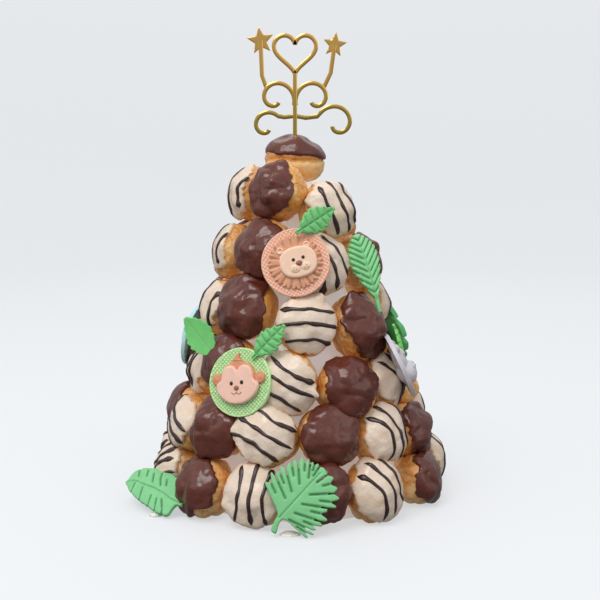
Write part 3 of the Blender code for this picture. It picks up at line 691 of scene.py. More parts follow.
def gold_finish(look):
    """Mirror-gold sheet with a painted reflection, deeper in colour towards its lower end."""
    finish = Finish("mirror gold", 0.12, Metallic=1.0)
    # Painted reflection: the colour turns from the lower gold to the upper gold with height.
    upper = finish.spread(finish.height(), 0.285, 0.325)
    finish.colour(finish.mix(upper, look.gold_low_painted_reflection, look.gold))
    finish.rough(5 * MM, 0.08, 0.18)
    finish.bump(finish.noise(14 * MM, 1.0), 0.10 * MM)
    return finish.material


def cone_finish(look):
    """The pale covered cone, faintly creased, with a faint cool glow that paints in bounced
    light.
    """
    # Painted light: the cone gives off a faint glow, though it is no lamp.
    finish = Finish("pale cone", 0.55, Emission_Color=(0.88, 0.92, 0.98, 1.0),
                    Emission_Strength=0.22)
    finish.colour(finish.mix(finish.noise(16 * MM), toned(look.cone, 0.93), look.cone))
    finish.rough(6 * MM, 0.45, 0.62)
    finish.bump(finish.noise(9 * MM, 3.0, stretch=(1.0, 1.0, 0.35)), 0.6 * MM)
    finish.bump(finish.noise(1.2 * MM, 2.0), 0.05 * MM)
    return finish.material


def icing_finish(look):
    """Off-white icing, a little uneven."""
    finish = Finish("piped icing", 0.4, Subsurface_Weight=0.2, Subsurface_Scale=0.002)
    finish.colour(finish.mix(finish.noise(3 * MM), toned(look.icing, 0.94), look.icing))
    finish.rough(2 * MM, 0.34, 0.50)
    finish.bump(finish.noise(1.4 * MM, 3.0), 0.15 * MM)
    return finish.material


def floor_finish(look):
    """The sweep, which gives off a little light of its own, more so up its wall."""
    finish = Finish("pale studio sweep", 0.85, Emission_Color=(0.965, 0.985, 1.0, 1.0))
    finish.colour(finish.mix(finish.noise(0.4), toned(look.floor, 0.99), look.floor))
    finish.link(finish.spread(finish.height(), 0.0, 0.9, look.glow, 1.2 * look.glow),
                finish.shader.inputs["Emission Strength"])
    return finish.material


# Directions and axes on the tower, as the solids have them.

def face_axes(azimuth, lift, turn):
    """Rotation whose Z is the face's normal and whose X is turned from the right."""
    angle, rise, spin = (math.radians(value) for value in (azimuth, lift, turn))
    right = Vector((math.cos(angle), math.sin(angle), 0.0))
    level = Vector((math.sin(angle), -math.cos(angle), 0.0))
    normal = level * math.cos(rise) + Vector((0.0, 0.0, math.sin(rise)))
    up = normal.cross(right)
    along = right * math.cos(spin) + up * math.sin(spin)
    return Matrix((along, normal.cross(along), normal)).transposed()


def azimuth_of(points):
    """Azimuths round the tower: 0 towards the viewer, 90 to the right."""
    points = np.asarray(points)
    across = points[..., 0] + LEAN * points[..., 2]
    return np.degrees(np.arctan2(across, -points[..., 1]))


def node_corners(name):
    """The corners of a solid, each once, in metres."""
    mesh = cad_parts[name].data
    corners = np.empty(3 * len(mesh.vertices))
    mesh.vertices.foreach_get("co", corners)
    return np.unique(np.round(corners.reshape(-1, 3), 6), axis=0)


# Puffs.

class Bun:
    """A bun's middle, dome and skin, read from the corners of its solid."""

    def __init__(self, name, node, coat, corners):
        self.name, self.node, self.coat = name, node, coat
        self.middle = corners.mean(axis=0)
        offsets = corners - self.middle
        self.reaches = np.linalg.norm(offsets, axis=1)
        self.towards = offsets / self.reaches[:, None]
        self.draw = random.Random("%s %d" % (name, settings().seed))
        self.seed = self.draw.randrange(1, 100000)
        lift = 90.0 if node == TOP_PUFF else math.degrees(math.atan(CONE_SLOPE))
        azimuth = 0.0 if node == TOP_PUFF else float(azimuth_of(self.middle))
        self.axes = np.array(face_axes(azimuth, lift, 0.0))
        self.dome = self.axes[:, 2]
        sideways, upwards, self.cover = COAT_PLACES.get(name, (0.0, 0.0, 1.0))
        tilt = (Matrix.Rotation(math.radians(sideways), 3, "Y")
                @ Matrix.Rotation(math.radians(-upwards), 3, "X"))
        self.axes = self.axes @ np.array(tilt)
        self.lively = LIVELY.get(node, 1.0)

    def reach(self, directions):
        """Distance from the middle to the skin: a blend of the corners near by."""
        nearness = directions @ self.towards.T - 1.0
        weights = np.exp(nearness / (1.0 - math.cos(BLEND_ANGLE)))
        return weights @ self.reaches / weights.sum(axis=1)

    def skin(self, directions):
        """Points on the skin with its soft lumps."""
        places = self.middle + directions * self.reach(directions)[:, None]
        height = settings().puffs.lump * math.sqrt(self.lively)
        lumps = (height * soft_noise(places, 10 * MM, self.seed)
                 + 0.30 * height * soft_noise(places, 5 * MM, self.seed + 1))
        return places + directions * lumps[:, None]

    def cap_directions(self, angles, spokes):
        """Directions at angles from the dome's top, along spokes round it."""
        local = np.stack([np.sin(angles) * np.cos(spokes), np.sin(angles) * np.sin(spokes),
                          np.cos(angles)], axis=-1)
        return local @ self.axes.T

    def coat_edge(self, spokes):
        """Angle from the dome's top to the ragged edge of the coat."""
        draw = random.Random(self.seed)
        spread = settings().puffs.coat_spread * self.cover
        edge = np.full(len(spokes), spread + draw.uniform(-0.05, 0.05))
        for waves in SOFT_EDGE_WAVES:
            size = draw.uniform(0.04, 0.12) / math.sqrt(waves - 1.0)
            edge += size * np.sin(waves * spokes + draw.uniform(0.0, 2.0 * math.pi))
        for waves in POINTED_EDGE_WAVES:
            size = draw.uniform(0.01, 0.03)
            edge += size * (1.0 - 2.0 * np.abs(np.sin(waves * spokes
                                                      + draw.uniform(0.0, math.pi))))
        for _ in range(DRIPS):
            drip = draw.uniform(0.0, 2.0 * math.pi)
            near = np.cos(spokes - drip) - 1.0
            edge += draw.uniform(0.04, 0.14) * np.exp(near / DRIP_SPREAD)
        if self.node == TOP_PUFF:
            edge = spread + TOP_RAGGEDNESS * (edge - spread)
        return edge

    def coat_surface(self, shares, spokes):
        """Points of the coat's outer face, and their directions, at shares of the way out."""
        angles = shares * self.coat_edge(spokes)
        directions = self.cap_directions(angles, spokes)
        thickness = settings().puffs.coat_thickness
        swell = 1.0 + SWELL * np.clip((shares - SWELL_START) / SWELL_WIDTH, 0.0, 1.0) ** 2
        lip = np.clip((shares - LIP_START) / LIP_WIDTH, 0.0, 1.0)
        height = thickness * (swell * np.sqrt(1.0 - lip ** 2) - LIP_SINK * lip ** 4)
        points = self.skin(directions)
        lobes = np.abs(soft_noise(points, 12 * MM, self.seed + 2))
        ripples = np.abs(soft_noise(points, 6 * MM, self.seed + 4))
        lively = self.lively * (1.0 if self.coat == "dark" else IVORY_FLOW)
        flow = ((LOBES * lobes + RIPPLES * ripples - FLOW_LEVEL) * lively
                + SOFT_WAVES * soft_noise(points, 8 * MM, self.seed + 3)) * thickness
        if self.node == TOP_PUFF:
            flow = flow + TOP_COAT_BULGE * np.sin(math.pi * shares) ** 2
        height = height + flow * (1.0 - lip)
        for angle, spoke, rise in NIBS.get(self.name, ()):
            nib = self.cap_directions(math.radians(angle), math.radians(spoke))
            near = np.exp((directions @ nib - 1.0) / NIB_SPREAD)
            height = height + rise * MM * near * (1.0 - lip)
        points = points + directions * height[:, None]
        level = -DISC_GAP * MM
        for axes, middle in DISC_UNDERSIDES:
            local = points @ axes - middle
            under = ((np.hypot(local[:, 0], local[:, 1]) < DISC_RADIUS * MM)
                     & (local[:, 2] > level) & (local[:, 2] < level + DISC_PRESS * MM))
            points = points - np.outer(np.where(under, local[:, 2] - level, 0.0), axes[:, 2])
        return points, directions


def disc_undersides():
    """Axes of each medallion, and the middle of its underside along them."""
    found = []
    for name, place in MEDALLIONS.items():
        axes = np.array(face_axes(*place))
        solid = node_corners(name) @ axes
        low, high = solid.min(axis=0), solid.max(axis=0)
        found.append((axes, np.array((*(low + high)[:2] / 2.0, low[2]))))
    return found


DISC_UNDERSIDES = disc_undersides()


def read_buns():
    """Every bun of the tower. A solid of several buns is shared out by azimuth."""
    buns = []
    for node in sorted(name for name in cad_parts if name.startswith("puff")):
        coats = node.split("_")[2:]
        corners = node_corners(node)
        if len(coats) == 1:
            buns.append(Bun(node, node, coats[0], corners))
            continue
        turned = (azimuth_of(corners) - BACK_START) % 360.0
        edges = np.linspace(turned.min(), turned.max(), len(coats) + 1)
        for number, coat in enumerate(coats):
            near = ((turned >= edges[number] - BACK_OVERLAP)
                    & (turned <= edges[number + 1] + BACK_OVERLAP))
            name = "%s_%d" % ("_".join(node.split("_")[:2]), number + 1)
            buns.append(Bun(name, node, coat, corners[near]))
    return buns


def bake_bun(bun, finish):
    """The golden bun, with cracks where its crust has split."""
    directions, faces = round_net(BUN_DETAIL + 1 if bun.node in CRAGGY else BUN_DETAIL)
    points = bun.skin(directions)
    split = (soft_noise(points, 9 * MM, bun.seed + 5)
             + 0.5 * soft_noise(points, 4 * MM, bun.seed + 6))
    crack = np.clip(1.0 - np.abs(split) / 0.20, 0.0, 1.0)
    open_here = np.clip(soft_noise(points, 14 * MM, bun.seed + 7) * 2.0 + 0.8, 0.0, 1.0)
    crack = crack * open_here
    blister = (0.8 * soft_noise(points, 4.5 * MM, bun.seed + 8)
               + 0.4 * soft_noise(points, 2.2 * MM, bun.seed + 9))
    angles = np.arccos(np.clip(directions @ bun.dome, -1.0, 1.0))
    waist = WAIST + 0.22 * soft_noise(points, 18 * MM, bun.seed + 11)
    groove = np.exp(-((angles - waist) / WAIST_WIDTH) ** 2)
    below = np.clip((angles - waist) / WAIST_WIDTH, 0.0, 1.0)
    toast = ((TOP_TOAST if bun.node == TOP_PUFF else TOAST)
             * np.exp(-((angles - waist + TOAST_ABOVE) / TOAST_WIDTH) ** 2))
    points = points + directions * ((BLISTER_HEIGHT * blister - CRACK_DEPTH * crack) * MM
                                    - WAIST_DEPTH * groove)[:, None]
    net = Net()
    # The stored value paints shade into the cracks, marks the browner band above the waist, and
    # marks the paler foot below it.
    net.add(points, faces, np.maximum(crack, toast) * (1.0 - below) - below)
    return net.make(bun.name + "_choux", finish, (bun.node,))


def dip_bun(bun, finish):
    """The coat: a dipped shell with a rounded, ragged edge."""
    shown = bun.node.startswith("puff_")
    rings = COAT_RINGS if shown else BACK_COAT_RINGS
    spokes = COAT_SPOKES if shown else BACK_COAT_SPOKES
    lip_rings = rings // 3
    shares = np.concatenate([
        np.linspace(0.0, LIP_START, rings - lip_rings + 1)[1:],
        LIP_START + LIP_WIDTH * np.sin(np.linspace(0.0, math.pi / 2.0, lip_rings + 1)[1:])])
    around = np.arange(spokes) * 2.0 * math.pi / spokes
    points, _ = bun.coat_surface(np.repeat(shares, spokes), np.tile(around, rings))
    top, _ = bun.coat_surface(np.zeros(1), np.zeros(1))
    net = Net()
    net.add(np.concatenate([points, top, bun.middle[None, :]]), capped_rings(rings, spokes),
            np.concatenate([np.repeat(shares, spokes), [0.0, 1.0]]))
    return net.make(bun.name + "_coat", finish)


def drizzle_lines(bun):
    """Paths of the drizzle in the plane across the dome, in shares of the bun's size."""
    stripes = STRIPES.get(bun.name) or bun.draw.choice(BACK_STRIPES)
    angle = math.radians(stripes.angle)
    along = np.array((math.cos(angle), math.sin(angle)))
    across = np.array((-along[1], along[0]))
    lines = []
    for number in range(stripes.count):
        offset = (number - (stripes.count - 1) / 2.0) * stripes.spacing + stripes.shift
        offset += bun.draw.uniform(-0.03, 0.03)
        half = math.sqrt(max(0.05, DRIZZLE_ENDS ** 2 - offset ** 2))
        start = -half * bun.draw.uniform(0.93, 1.0)
        end = half * bun.draw.uniform(0.93, 1.0)
        steps = np.linspace(start, end, 30)
        wave = bun.draw.uniform(0.0, 6.0)
        sway = (offset + stripes.bow * (steps ** 2 - 0.3)
                + 0.014 * np.sin(steps * 5.0 + wave) + 0.009 * np.sin(steps * 11.0 + wave))
        lines.append(steps[:, None] * along + sway[:, None] * across)
    return lines


def drizzle_bun(bun, finish):
    """Drizzle lines that lie on the coat, wider in places and with blunt ends."""
    net = Net()
    width = settings().puffs.drizzle_width
    for line in drizzle_lines(bun):
        flat = np.linalg.norm(line, axis=1)
        line = line * np.minimum(1.0, DRIZZLE_REACH / np.maximum(flat, 1e-6))[:, None]
        angles = np.arcsin(np.minimum(flat, DRIZZLE_REACH))
        spokes = np.arctan2(line[:, 1], line[:, 0])
        shares = angles / bun.coat_edge(spokes)
        _, directions = bun.coat_surface(shares, spokes)
        points, outwards = bun.coat_surface(np.minimum(shares, LIP_START), spokes)
        heights = np.einsum("ij,ij->i", points - bun.middle, outwards)
        path = bun.middle + directions * (heights + DRIZZLE_LIFT)[:, None]
        ends = rounded_ends(len(path), 2)
        swell = 1.0 + 0.42 * soft_noise(path, 6 * MM, bun.seed + 10)
        blob = 1.0 + DRIZZLE_BLOB * np.exp(-((np.arange(len(path)) - 2.0) / 1.6) ** 2)
        if bun.draw.random() < 0.5:
            blob = blob[::-1]
        tube(net, path, width * swell * ends * blob,
             DRIZZLE_HEIGHT * width * swell * ends, directions)
    return net.make(bun.name + "_drizzle", finish)


# Flat forms cut from rolled paste, drawn in millimetres on their own plane.

def inside(points, outline):
    """Which points lie within a closed outline."""
    result = np.zeros(len(points), dtype=bool)
    ends = np.roll(outline, -1, axis=0)
    for (x0, y0), (x1, y1) in zip(outline, ends):
        crosses = (y0 > points[:, 1]) != (y1 > points[:, 1])
        if crosses.any():
            at = x0 + (points[:, 1] - y0) * (x1 - x0) / ((y1 - y0) or 1e-9)
            result ^= crosses & (points[:, 0] < at)
    return result


def edge_distance(points, outline, batch=2000):
    """Distance from each point to a closed outline."""
    runs = np.roll(outline, -1, axis=0) - outline
    lengths = np.maximum((runs ** 2).sum(axis=1), 1e-12)
    nearest = np.full(len(points), np.inf)
    for start in range(0, len(points), batch):
        part = points[start:start + batch]
        offset = part[:, None, :] - outline[None, :, :]
        along = np.clip((offset * runs).sum(axis=2) / lengths, 0.0, 1.0)
        gap = offset - along[:, :, None] * runs[None, :, :]
        nearest[start:start + batch] = np.sqrt((gap ** 2).sum(axis=2)).min(axis=1)
    return nearest


def even_outline(outline, step):
    """The outline with its points a step apart, corners kept."""
    points = []
    for here, after in zip(outline, np.roll(outline, -1, axis=0)):
        count = max(1, int(round(np.linalg.norm(after - here) / step)))
        points += [here + (after - here) * part / count for part in range(count)]
    return np.array(points)


def turned_grid(outline, step, turn):
    """Points of a square grid over an outline, turned about its middle."""
    low, high = outline.min(axis=0), outline.max(axis=0)
    middle, reach = (low + high) / 2.0, np.linalg.norm(high - low) / 2.0
    count = int(reach / step) + 1
    ticks = np.arange(-count, count + 1) * step
    angle = math.radians(turn)
    gx, gy = np.meshgrid(ticks, ticks)
    return np.stack([middle[0] + gx * math.cos(angle) - gy * math.sin(angle),
                     middle[1] + gx * math.sin(angle) + gy * math.cos(angle)],
                    axis=-1).reshape(-1, 2)


def rim_of(triangles):
    """The points round the rim of a net of triangles, in order."""
    sides = {}                   # in the order in which they come
    for face in triangles:
        for first, second in zip(face, [*face[1:], face[0]]):
            sides[first, second] = True
    following = {first: second for first, second in sides if (second, first) not in sides}
    rim = [next(iter(following))]
    while following[rim[-1]] != rim[0]:
        rim.append(following[rim[-1]])
    return rim


def cut_paste(net, outline, thickness, rounding, step, relief=None, turn=0.0, level=0.0,
              base=None):
    """A rolled form whose upper edge is rounded over the width called rounding.

    The relief gives a height and a value of painted shade for points on the form, and the base
    bends it.
    """
    outline = even_outline(np.asarray(outline, dtype=float), step)
    if np.cross(outline, np.roll(outline, -1, axis=0)).sum() < 0.0:
        outline = outline[::-1]
    after = np.roll(outline, -1, axis=0) - np.roll(outline, 1, axis=0)
    after /= np.maximum(np.linalg.norm(after, axis=1), 1e-9)[:, None]
    inwards = np.stack([-after[:, 1], after[:, 0]], axis=1)
    rings = []
    for share in EDGE_RINGS:
        ring = outline + inwards * (share * rounding)
        rings.append(ring[edge_distance(ring, outline) > CLEARANCE * share * rounding])
    grid = turned_grid(outline, step, turn)
    grid = grid[inside(grid, outline)]
    grid = grid[edge_distance(grid, outline) > rounding * EDGE_RINGS[-1] + 0.35 * step]
    flat = np.concatenate([outline, *rings, grid])
    border = list(range(len(outline)))
    spots, _, triangles, *_ = delaunay_2d_cdt(
        [Vector(point) for point in flat], [], [border], 1, 1e-5)
    spots = np.array([spot[:] for spot in spots])
    depth = edge_distance(spots, outline)
    edge = 1.0 - np.clip(depth / rounding, 0.0, 1.0)
    drop = 1.0 - np.sqrt(np.clip(1.0 - edge ** 2, 0.0, 1.0))
    height = thickness - rounding * EDGE_DROP * drop
    value = np.zeros(len(spots))
    if relief is not None:
        rise, value = relief(spots)
        height = height + rise * np.clip(depth / rounding, 0.0, 1.0)
    bend = np.zeros(len(spots)) if base is None else base(spots)
    top = np.column_stack([spots, height + bend + level])
    rim, total = rim_of(triangles), len(spots)
    bottom = np.column_stack([spots[rim], (bend + level)[rim]])
    faces = [tuple(face) for face in triangles]
    faces.append(tuple(reversed(range(total, total + len(rim)))))
    for place, first in enumerate(rim):
        after = (place + 1) % len(rim)
        faces.append((rim[after], first, total + place, total + after))
    net.add(np.concatenate([top, bottom]) * MM, faces,
            np.concatenate([value, np.zeros(len(rim))]))


def smooth_loop(points, count=8):
    """A closed curve through the points that does not overshoot between uneven ones."""
    points = np.asarray(points, dtype=float)
    stops = [np.roll(points, shift, axis=0) for shift in (1, 0, -1, -2)]
    times = [np.zeros((len(points), 1))]
    for first, second in zip(stops, stops[1:]):
        gap = np.sqrt(np.linalg.norm(second - first, axis=1))[:, None]
        times.append(times[-1] + np.maximum(gap, 1e-3))

    def between(first, second, start, end, time):
        return ((end - time) * first + (time - start) * second) / (end - start)

    curve = []
    for step in range(count):
        time = times[1] + (times[2] - times[1]) * step / count
        level = [between(stops[n], stops[n + 1], times[n], times[n + 1], time)
                 for n in range(3)]
        level = [between(level[n], level[n + 1], times[n], times[n + 2], time)
                 for n in range(2)]
        curve.append(between(level[0], level[1], times[1], times[2], time))
    return np.stack(curve, axis=1).reshape(-1, 2)


def round_outline(half_width, half_height, power=2.0, centre=(0.0, 0.0), count=96):
    """An ellipse, or a squarer form with a higher power."""
    angles = np.arange(count) * 2.0 * math.pi / count
    across, upright = np.cos(angles), np.sin(angles)
    return np.stack([
        centre[0] + half_width * np.sign(across) * np.abs(across) ** (2.0 / power),
        centre[1] + half_height * np.sign(upright) * np.abs(upright) ** (2.0 / power)],
        axis=1)


def seat(net, node, axes, shift=(0.0, 0.0)):
    """Place for a form on its own plane, so that it lies where its solid does.

    The shift, in millimetres, moves it along its plane from there.
    """
    rotation = np.array(axes)
    solid = node_corners(node) @ rotation
    drawn = np.concatenate(net.points)
    offset = (solid.min(axis=0) + solid.max(axis=0)
              - drawn.min(axis=0) - drawn.max(axis=0)) / 2.0
    offset[:2] += np.array(shift) * MM
    offset[2] = solid[:, 2].min() - drawn[:, 2].min()
    return Matrix.Translation(Vector(rotation @ offset)) @ axes.to_4x4()


# Leaves.

def blade_half_width(part, form):
    """Half width of a blade along its midrib, as a share of the most."""
    return math.sin(math.pi * (0.02 + 0.95 * part) ** form.peak) ** form.taper


def finger_share(form, finger, place):
    """Share of the half width that a finger's edge reaches at a place along it."""
    before = 1.0 - form.notch if finger else 0.0
    after = 1.0 - form.notch if finger < form.fingers - 1 else 1.0
    if not form.slot:
        rise, fall = 0.80, 0.20  # parts of a tooth before and after its point
        if place < rise:
            return before + (1.0 - before) * math.sin(place / rise * math.pi / 2.0)
        return 1.0 + (after - 1.0) * (place - rise) / fall
    if place < form.slot:
        return before
    if place > 1.0 - form.slot:
        return after
    across = (place - form.slot) / (1.0 - 2.0 * form.slot) * 2.0 - 1.0
    if form.pronged:
        return 1.0 - 0.16 * abs(2.0 * abs(across - 0.1) - 0.9)
    return 0.90 + 0.10 * (1.0 - 0.998 * across ** 4) ** 0.5


def leaf_outline(form, scale):
    """A leaf's closed outline with its stem, midrib along X, middle of blade at X 0."""
    length, width, stem = form.length * scale, form.width * scale, form.stem * scale
    edge = []
    for finger in range(form.fingers):
        for step in range(LEAF_STEPS):
            place = (step + 0.5) / LEAF_STEPS
            part = (finger + place) / form.fingers
            reach = max(width / 2.0 * blade_half_width(part, form)
                        * finger_share(form, finger, place), 1.5)
            along = min(part * length + form.sweep * reach, length * 0.995)
            edge.append((along - length / 2.0, reach))
    foot = -stem - length / 2.0
    half = [(foot, 1.0), (foot + 0.4, 1.5), (-length / 2.0 - 0.2, 1.6)] + edge
    tip = [(length / 2.0, 0.0)]
    return np.array(half + tip + [(x, -y) for x, y in reversed(half)])


def leaf_relief(form, scale):
    """Pressed midrib, side veins and grooves of a leaf, and pillows between its veins."""
    length, width = form.length * scale, form.width * scale
    depth = settings().paste.vein_depth / MM
    start, end, half, deep = form.groove

    def relief(spots):
        along, side = spots[:, 0] + length / 2.0, np.abs(spots[:, 1])

        def line(part):
            """Distance to the line that leaves the midrib there, and its reach."""
            return (np.abs(along - form.sweep * side - part * length),
                    width / 2.0 * blade_half_width(part, form))

        veins, grooves, pillows = np.zeros(len(spots)), np.zeros(len(spots)), np.ones(len(spots))
        for finger in range(form.fingers):
            away, reach = line((finger + 0.5) / form.fingers)
            vein = np.exp(-(away / 0.5) ** 2) * (side < 0.80 * reach)
            veins = np.maximum(veins, vein * form.vein)
            pillows = np.minimum(pillows, away / (0.5 * length / form.fingers))
            if finger and deep:
                away, reach = line(finger / form.fingers)
                ends = np.maximum(start * reach - side, side - end * reach)
                away = np.hypot(away, np.maximum(ends, 0.0))
                grooves = np.maximum(grooves, np.exp(-(away / half) ** 2))
        midrib = np.exp(-(side / 0.55) ** 2) * (along > -1.0) * (along < 0.93 * length)
        lines = np.maximum(form.midrib * midrib, veins)
        pillows = np.sin(pillows * math.pi / 2.0) * np.clip(side / 3.0, 0.0, 1.0)
        rise = -depth * lines - deep * grooves + 0.6 * form.vein * pillows
        # The value paints shade into the veins and the grooves.
        return rise, np.maximum(0.5 * lines, 0.8 * grooves)
    return relief


def palm_side(fingers):
    """One side of the palm leaf: its outline from the stem, and its pressed lines."""
    edge, lines, foot = [np.array((0.2, 2.5))], [], np.array((0.8, 3.0))
    for (first, second, root), (after, *_) in zip(fingers, fingers[1:]):
        first, second, root, after = (np.array(point) for point in (first, second, root, after))
        start, between = (foot + root) / 2.0, (first + second) / 2.0
        dip = start + PALM_DIP * (between - start)
        blunt = PALM_BLUNT * (second - first) / np.linalg.norm(second - first)
        out = (second + after) / 2.0 - root
        reach = float(np.linalg.norm(out))
        out /= reach
        across = PALM_SLOT * np.array((-out[1], out[0]))
        notch, mouth = root + PALM_NOTCH * reach * out, root + PALM_MOUTH * reach * out
        if len(edge) == 1:
            edge.append(foot + 0.6 * (first - foot) + (-0.3, 0.1))
        edge += [first - blunt, first + blunt, dip, second - blunt, second + blunt,
                 mouth + across, notch + across, notch - 0.9 * PALM_SLOT * out,
                 notch - across, mouth - across]
        lines += [(start + PALM_LINE * (between - start), dip), (root, notch)]
        foot = root
    edge.append(np.array(fingers[-1][0]))
    return np.array(edge), lines


def palm_leaf():
    """The palm leaf's outline and its pressed lines."""
    middle, flip = np.array((PALM_LENGTH / 2.0, 0.0)), np.array((1.0, -1.0))
    left, left_lines = palm_side(PALM_FINGERS[0])
    right, right_lines = palm_side(PALM_FINGERS[1])
    outline = np.concatenate([left, [(PALM_LENGTH + 0.4, 0.1)], (right * flip)[::-1],
                              PALM_STEM])
    lines = [(np.array(((-1.0, 0.0), (40.0, 0.0))) - middle, 0.5, 0.7, 0.4)]
    lines += [(np.array(line) - middle, 0.75, 1.7, 1.0) for line in left_lines]
    lines += [(np.array(line) * flip - middle, 0.75, 1.7, 1.0) for line in right_lines]
    return outline - middle, lines


def broad_leaf():
    """The broad leaf's outline and its pressed lines."""
    lines = [(np.array(line), 0.6, 1.7, 1.0) for line in BROAD_LINES]
    return BROAD_OUTLINE, [(np.array(BROAD_MIDRIB), 0.5, 0.8, 0.6)] + lines


def pressed(lines):
    """Relief of lines pressed in: points, half width, depth and painted shade of each."""
    def relief(spots):
        rise, value = np.zeros(len(spots)), np.zeros(len(spots))
        for points, half, depth, shade in lines:
            there_and_back = np.concatenate([points, points[-2:0:-1]])
            share = np.exp(-(edge_distance(spots, there_and_back) / half) ** 2)
            rise = np.minimum(rise, -depth * share)
            value = np.maximum(value, shade * share)
        return rise, value
    return relief


def cut_leaf(name, leaf, finish):
    """A leaf with pressed veins and softly rounded edges, cupped as its solid is."""
    shift = (0.0, 0.0)
    if leaf.form in LEAF_FORMS:
        form = LEAF_FORMS[leaf.form]
        length, width = form.length * leaf.scale, form.width * leaf.scale
        thickness = form.thickness
        outline, relief = leaf_outline(form, leaf.scale), leaf_relief(form, leaf.scale)
    else:
        draw, length, width, thickness, shift = DRAWN_LEAVES[leaf.form]
        points, lines = draw()
        outline, relief = smooth_loop(points, 6), pressed(lines)

    def cupped(spots):
        part = (spots[:, 0] + length / 2.0) / length
        return leaf.cup * (4.0 * part * (1.0 - part) - (spots[:, 1] / (width / 2.0)) ** 2)

    net = Net()
    cut_paste(net, outline, thickness, 0.42 * thickness, FINE_STEP, relief, base=cupped)
    axes = face_axes(leaf.azimuth, leaf.lift, leaf.midrib)
    return net.make(name, finish, (name,), seat(net, name, axes, shift))


# How the drawn leaves are made: outline and lines, length, width, thickness and shift.
DRAWN_LEAVES = {
    "palm": (palm_leaf, PALM_LENGTH, 50.0, 2.4, (0.0, 0.0)),
    "broad": (broad_leaf, 58.0, 33.0, 2.6, (1.0, -3.0)),
}


# Medallions.

def lattice(pitch, height):
    """Rows of small square beads, with their edges at 45 degrees."""
    def relief(spots):
        turned = spots @ (np.array(((1.0, -1.0), (1.0, 1.0))) / math.sqrt(2.0))
        cell = 2.0 * np.abs((turned / pitch) % 1.0 - 0.5)
        peak = 1.0 - np.max(cell, axis=1) ** 2.5
        # The value paints shade into the gaps between the beads.
        return height * (peak - 0.5), 1.0 - peak
    return relief


def cut_disc(name, finish, rim=1.4, pitch=2.0, height=0.6):
    """The medallion's disc with its lattice and a plain narrow rim. Returns its place."""
    woven = lattice(pitch, height)

    def relief(spots):
        rise, value = woven(spots)
        plain = np.clip((np.hypot(*spots.T) - (DISC_RADIUS - rim)) / 0.4, 0.0, 1.0)
        return rise * (1.0 - plain) + 0.2 * plain, value * (1.0 - plain)

    net = Net()
    cut_paste(net, round_outline(DISC_RADIUS, DISC_RADIUS, count=120), DISC_THICKNESS, 0.7,
              pitch / 4.0, relief, turn=45.0)
    place = seat(net, name, face_axes(*MEDALLIONS[name]))
    net.make(name + "_disc", finish, (name,), place)
    return place


def level_tube(net, points, widths, heights, sides=8):
    """A tube that lies on a face. All lengths are in millimetres."""
    path = np.asarray(points, dtype=float) * MM
    tube(net, path, widths * MM, heights * MM, np.tile((0.0, 0.0, 1.0), (len(path), 1)), sides)


def drawn_line(net, points, height, width, rise):
    """A thin raised line through points on a face."""
    ends = rounded_ends(len(points), 1)
    level_tube(net, np.column_stack([points, np.full(len(points), height)]),
               width * ends, rise * ends)


def small_ring(net, x, y, level, radius, width, rise, count=20):
    """A raised ring on a face."""
    angles = np.arange(count + 1) * 2.0 * math.pi / count
    whole = np.ones(count + 1)
    level_tube(net, np.stack([x + radius * np.cos(angles), y + radius * np.sin(angles),
                              level * whole], axis=1), width * whole, rise * whole)


def mane(petals=16, steps=14):
    """The mane's scalloped outline and its ruffled relief."""
    angles = np.arange(petals * steps) * 2.0 * math.pi / (petals * steps)
    part = (angles * petals / (2.0 * math.pi)) % 1.0
    reach = DISC_RADIUS * (0.725 + 0.07 * np.abs(np.sin(2.0 * math.pi * part)) ** 0.6
                           - 0.05 * np.exp(-(np.minimum(part, 1.0 - part) / 0.08) ** 2))

    def ruffle(spots):
        around, out = np.arctan2(spots[:, 1], spots[:, 0]), np.hypot(*spots.T)
        part = (around * petals / (2.0 * math.pi)) % 1.0
        width = out * 2.0 * math.pi / petals
        opened = np.clip((out - 10.5) / 7.0, 0.0, 1.0)
        crease = np.exp(-(np.minimum(part, 1.0 - part) * width / (0.3 + 0.75 * opened)) ** 2)
        outer = np.clip((out - 15.6) / 1.5, 0.0, 1.0)
        notch = np.exp(-((part - 0.5) * width / 0.45) ** 2) * outer
        bulge = 0.35 * np.abs(np.sin(math.pi * part)) * opened
        # The value paints shade into the creases and the notches.
        return (bulge - (0.3 + 0.8 * opened) * crease - 0.5 * notch,
                np.maximum((0.25 + 0.65 * opened) * crease, 0.6 * notch))

    return np.stack([reach * np.cos(angles), reach * np.sin(angles)], axis=1), ruffle


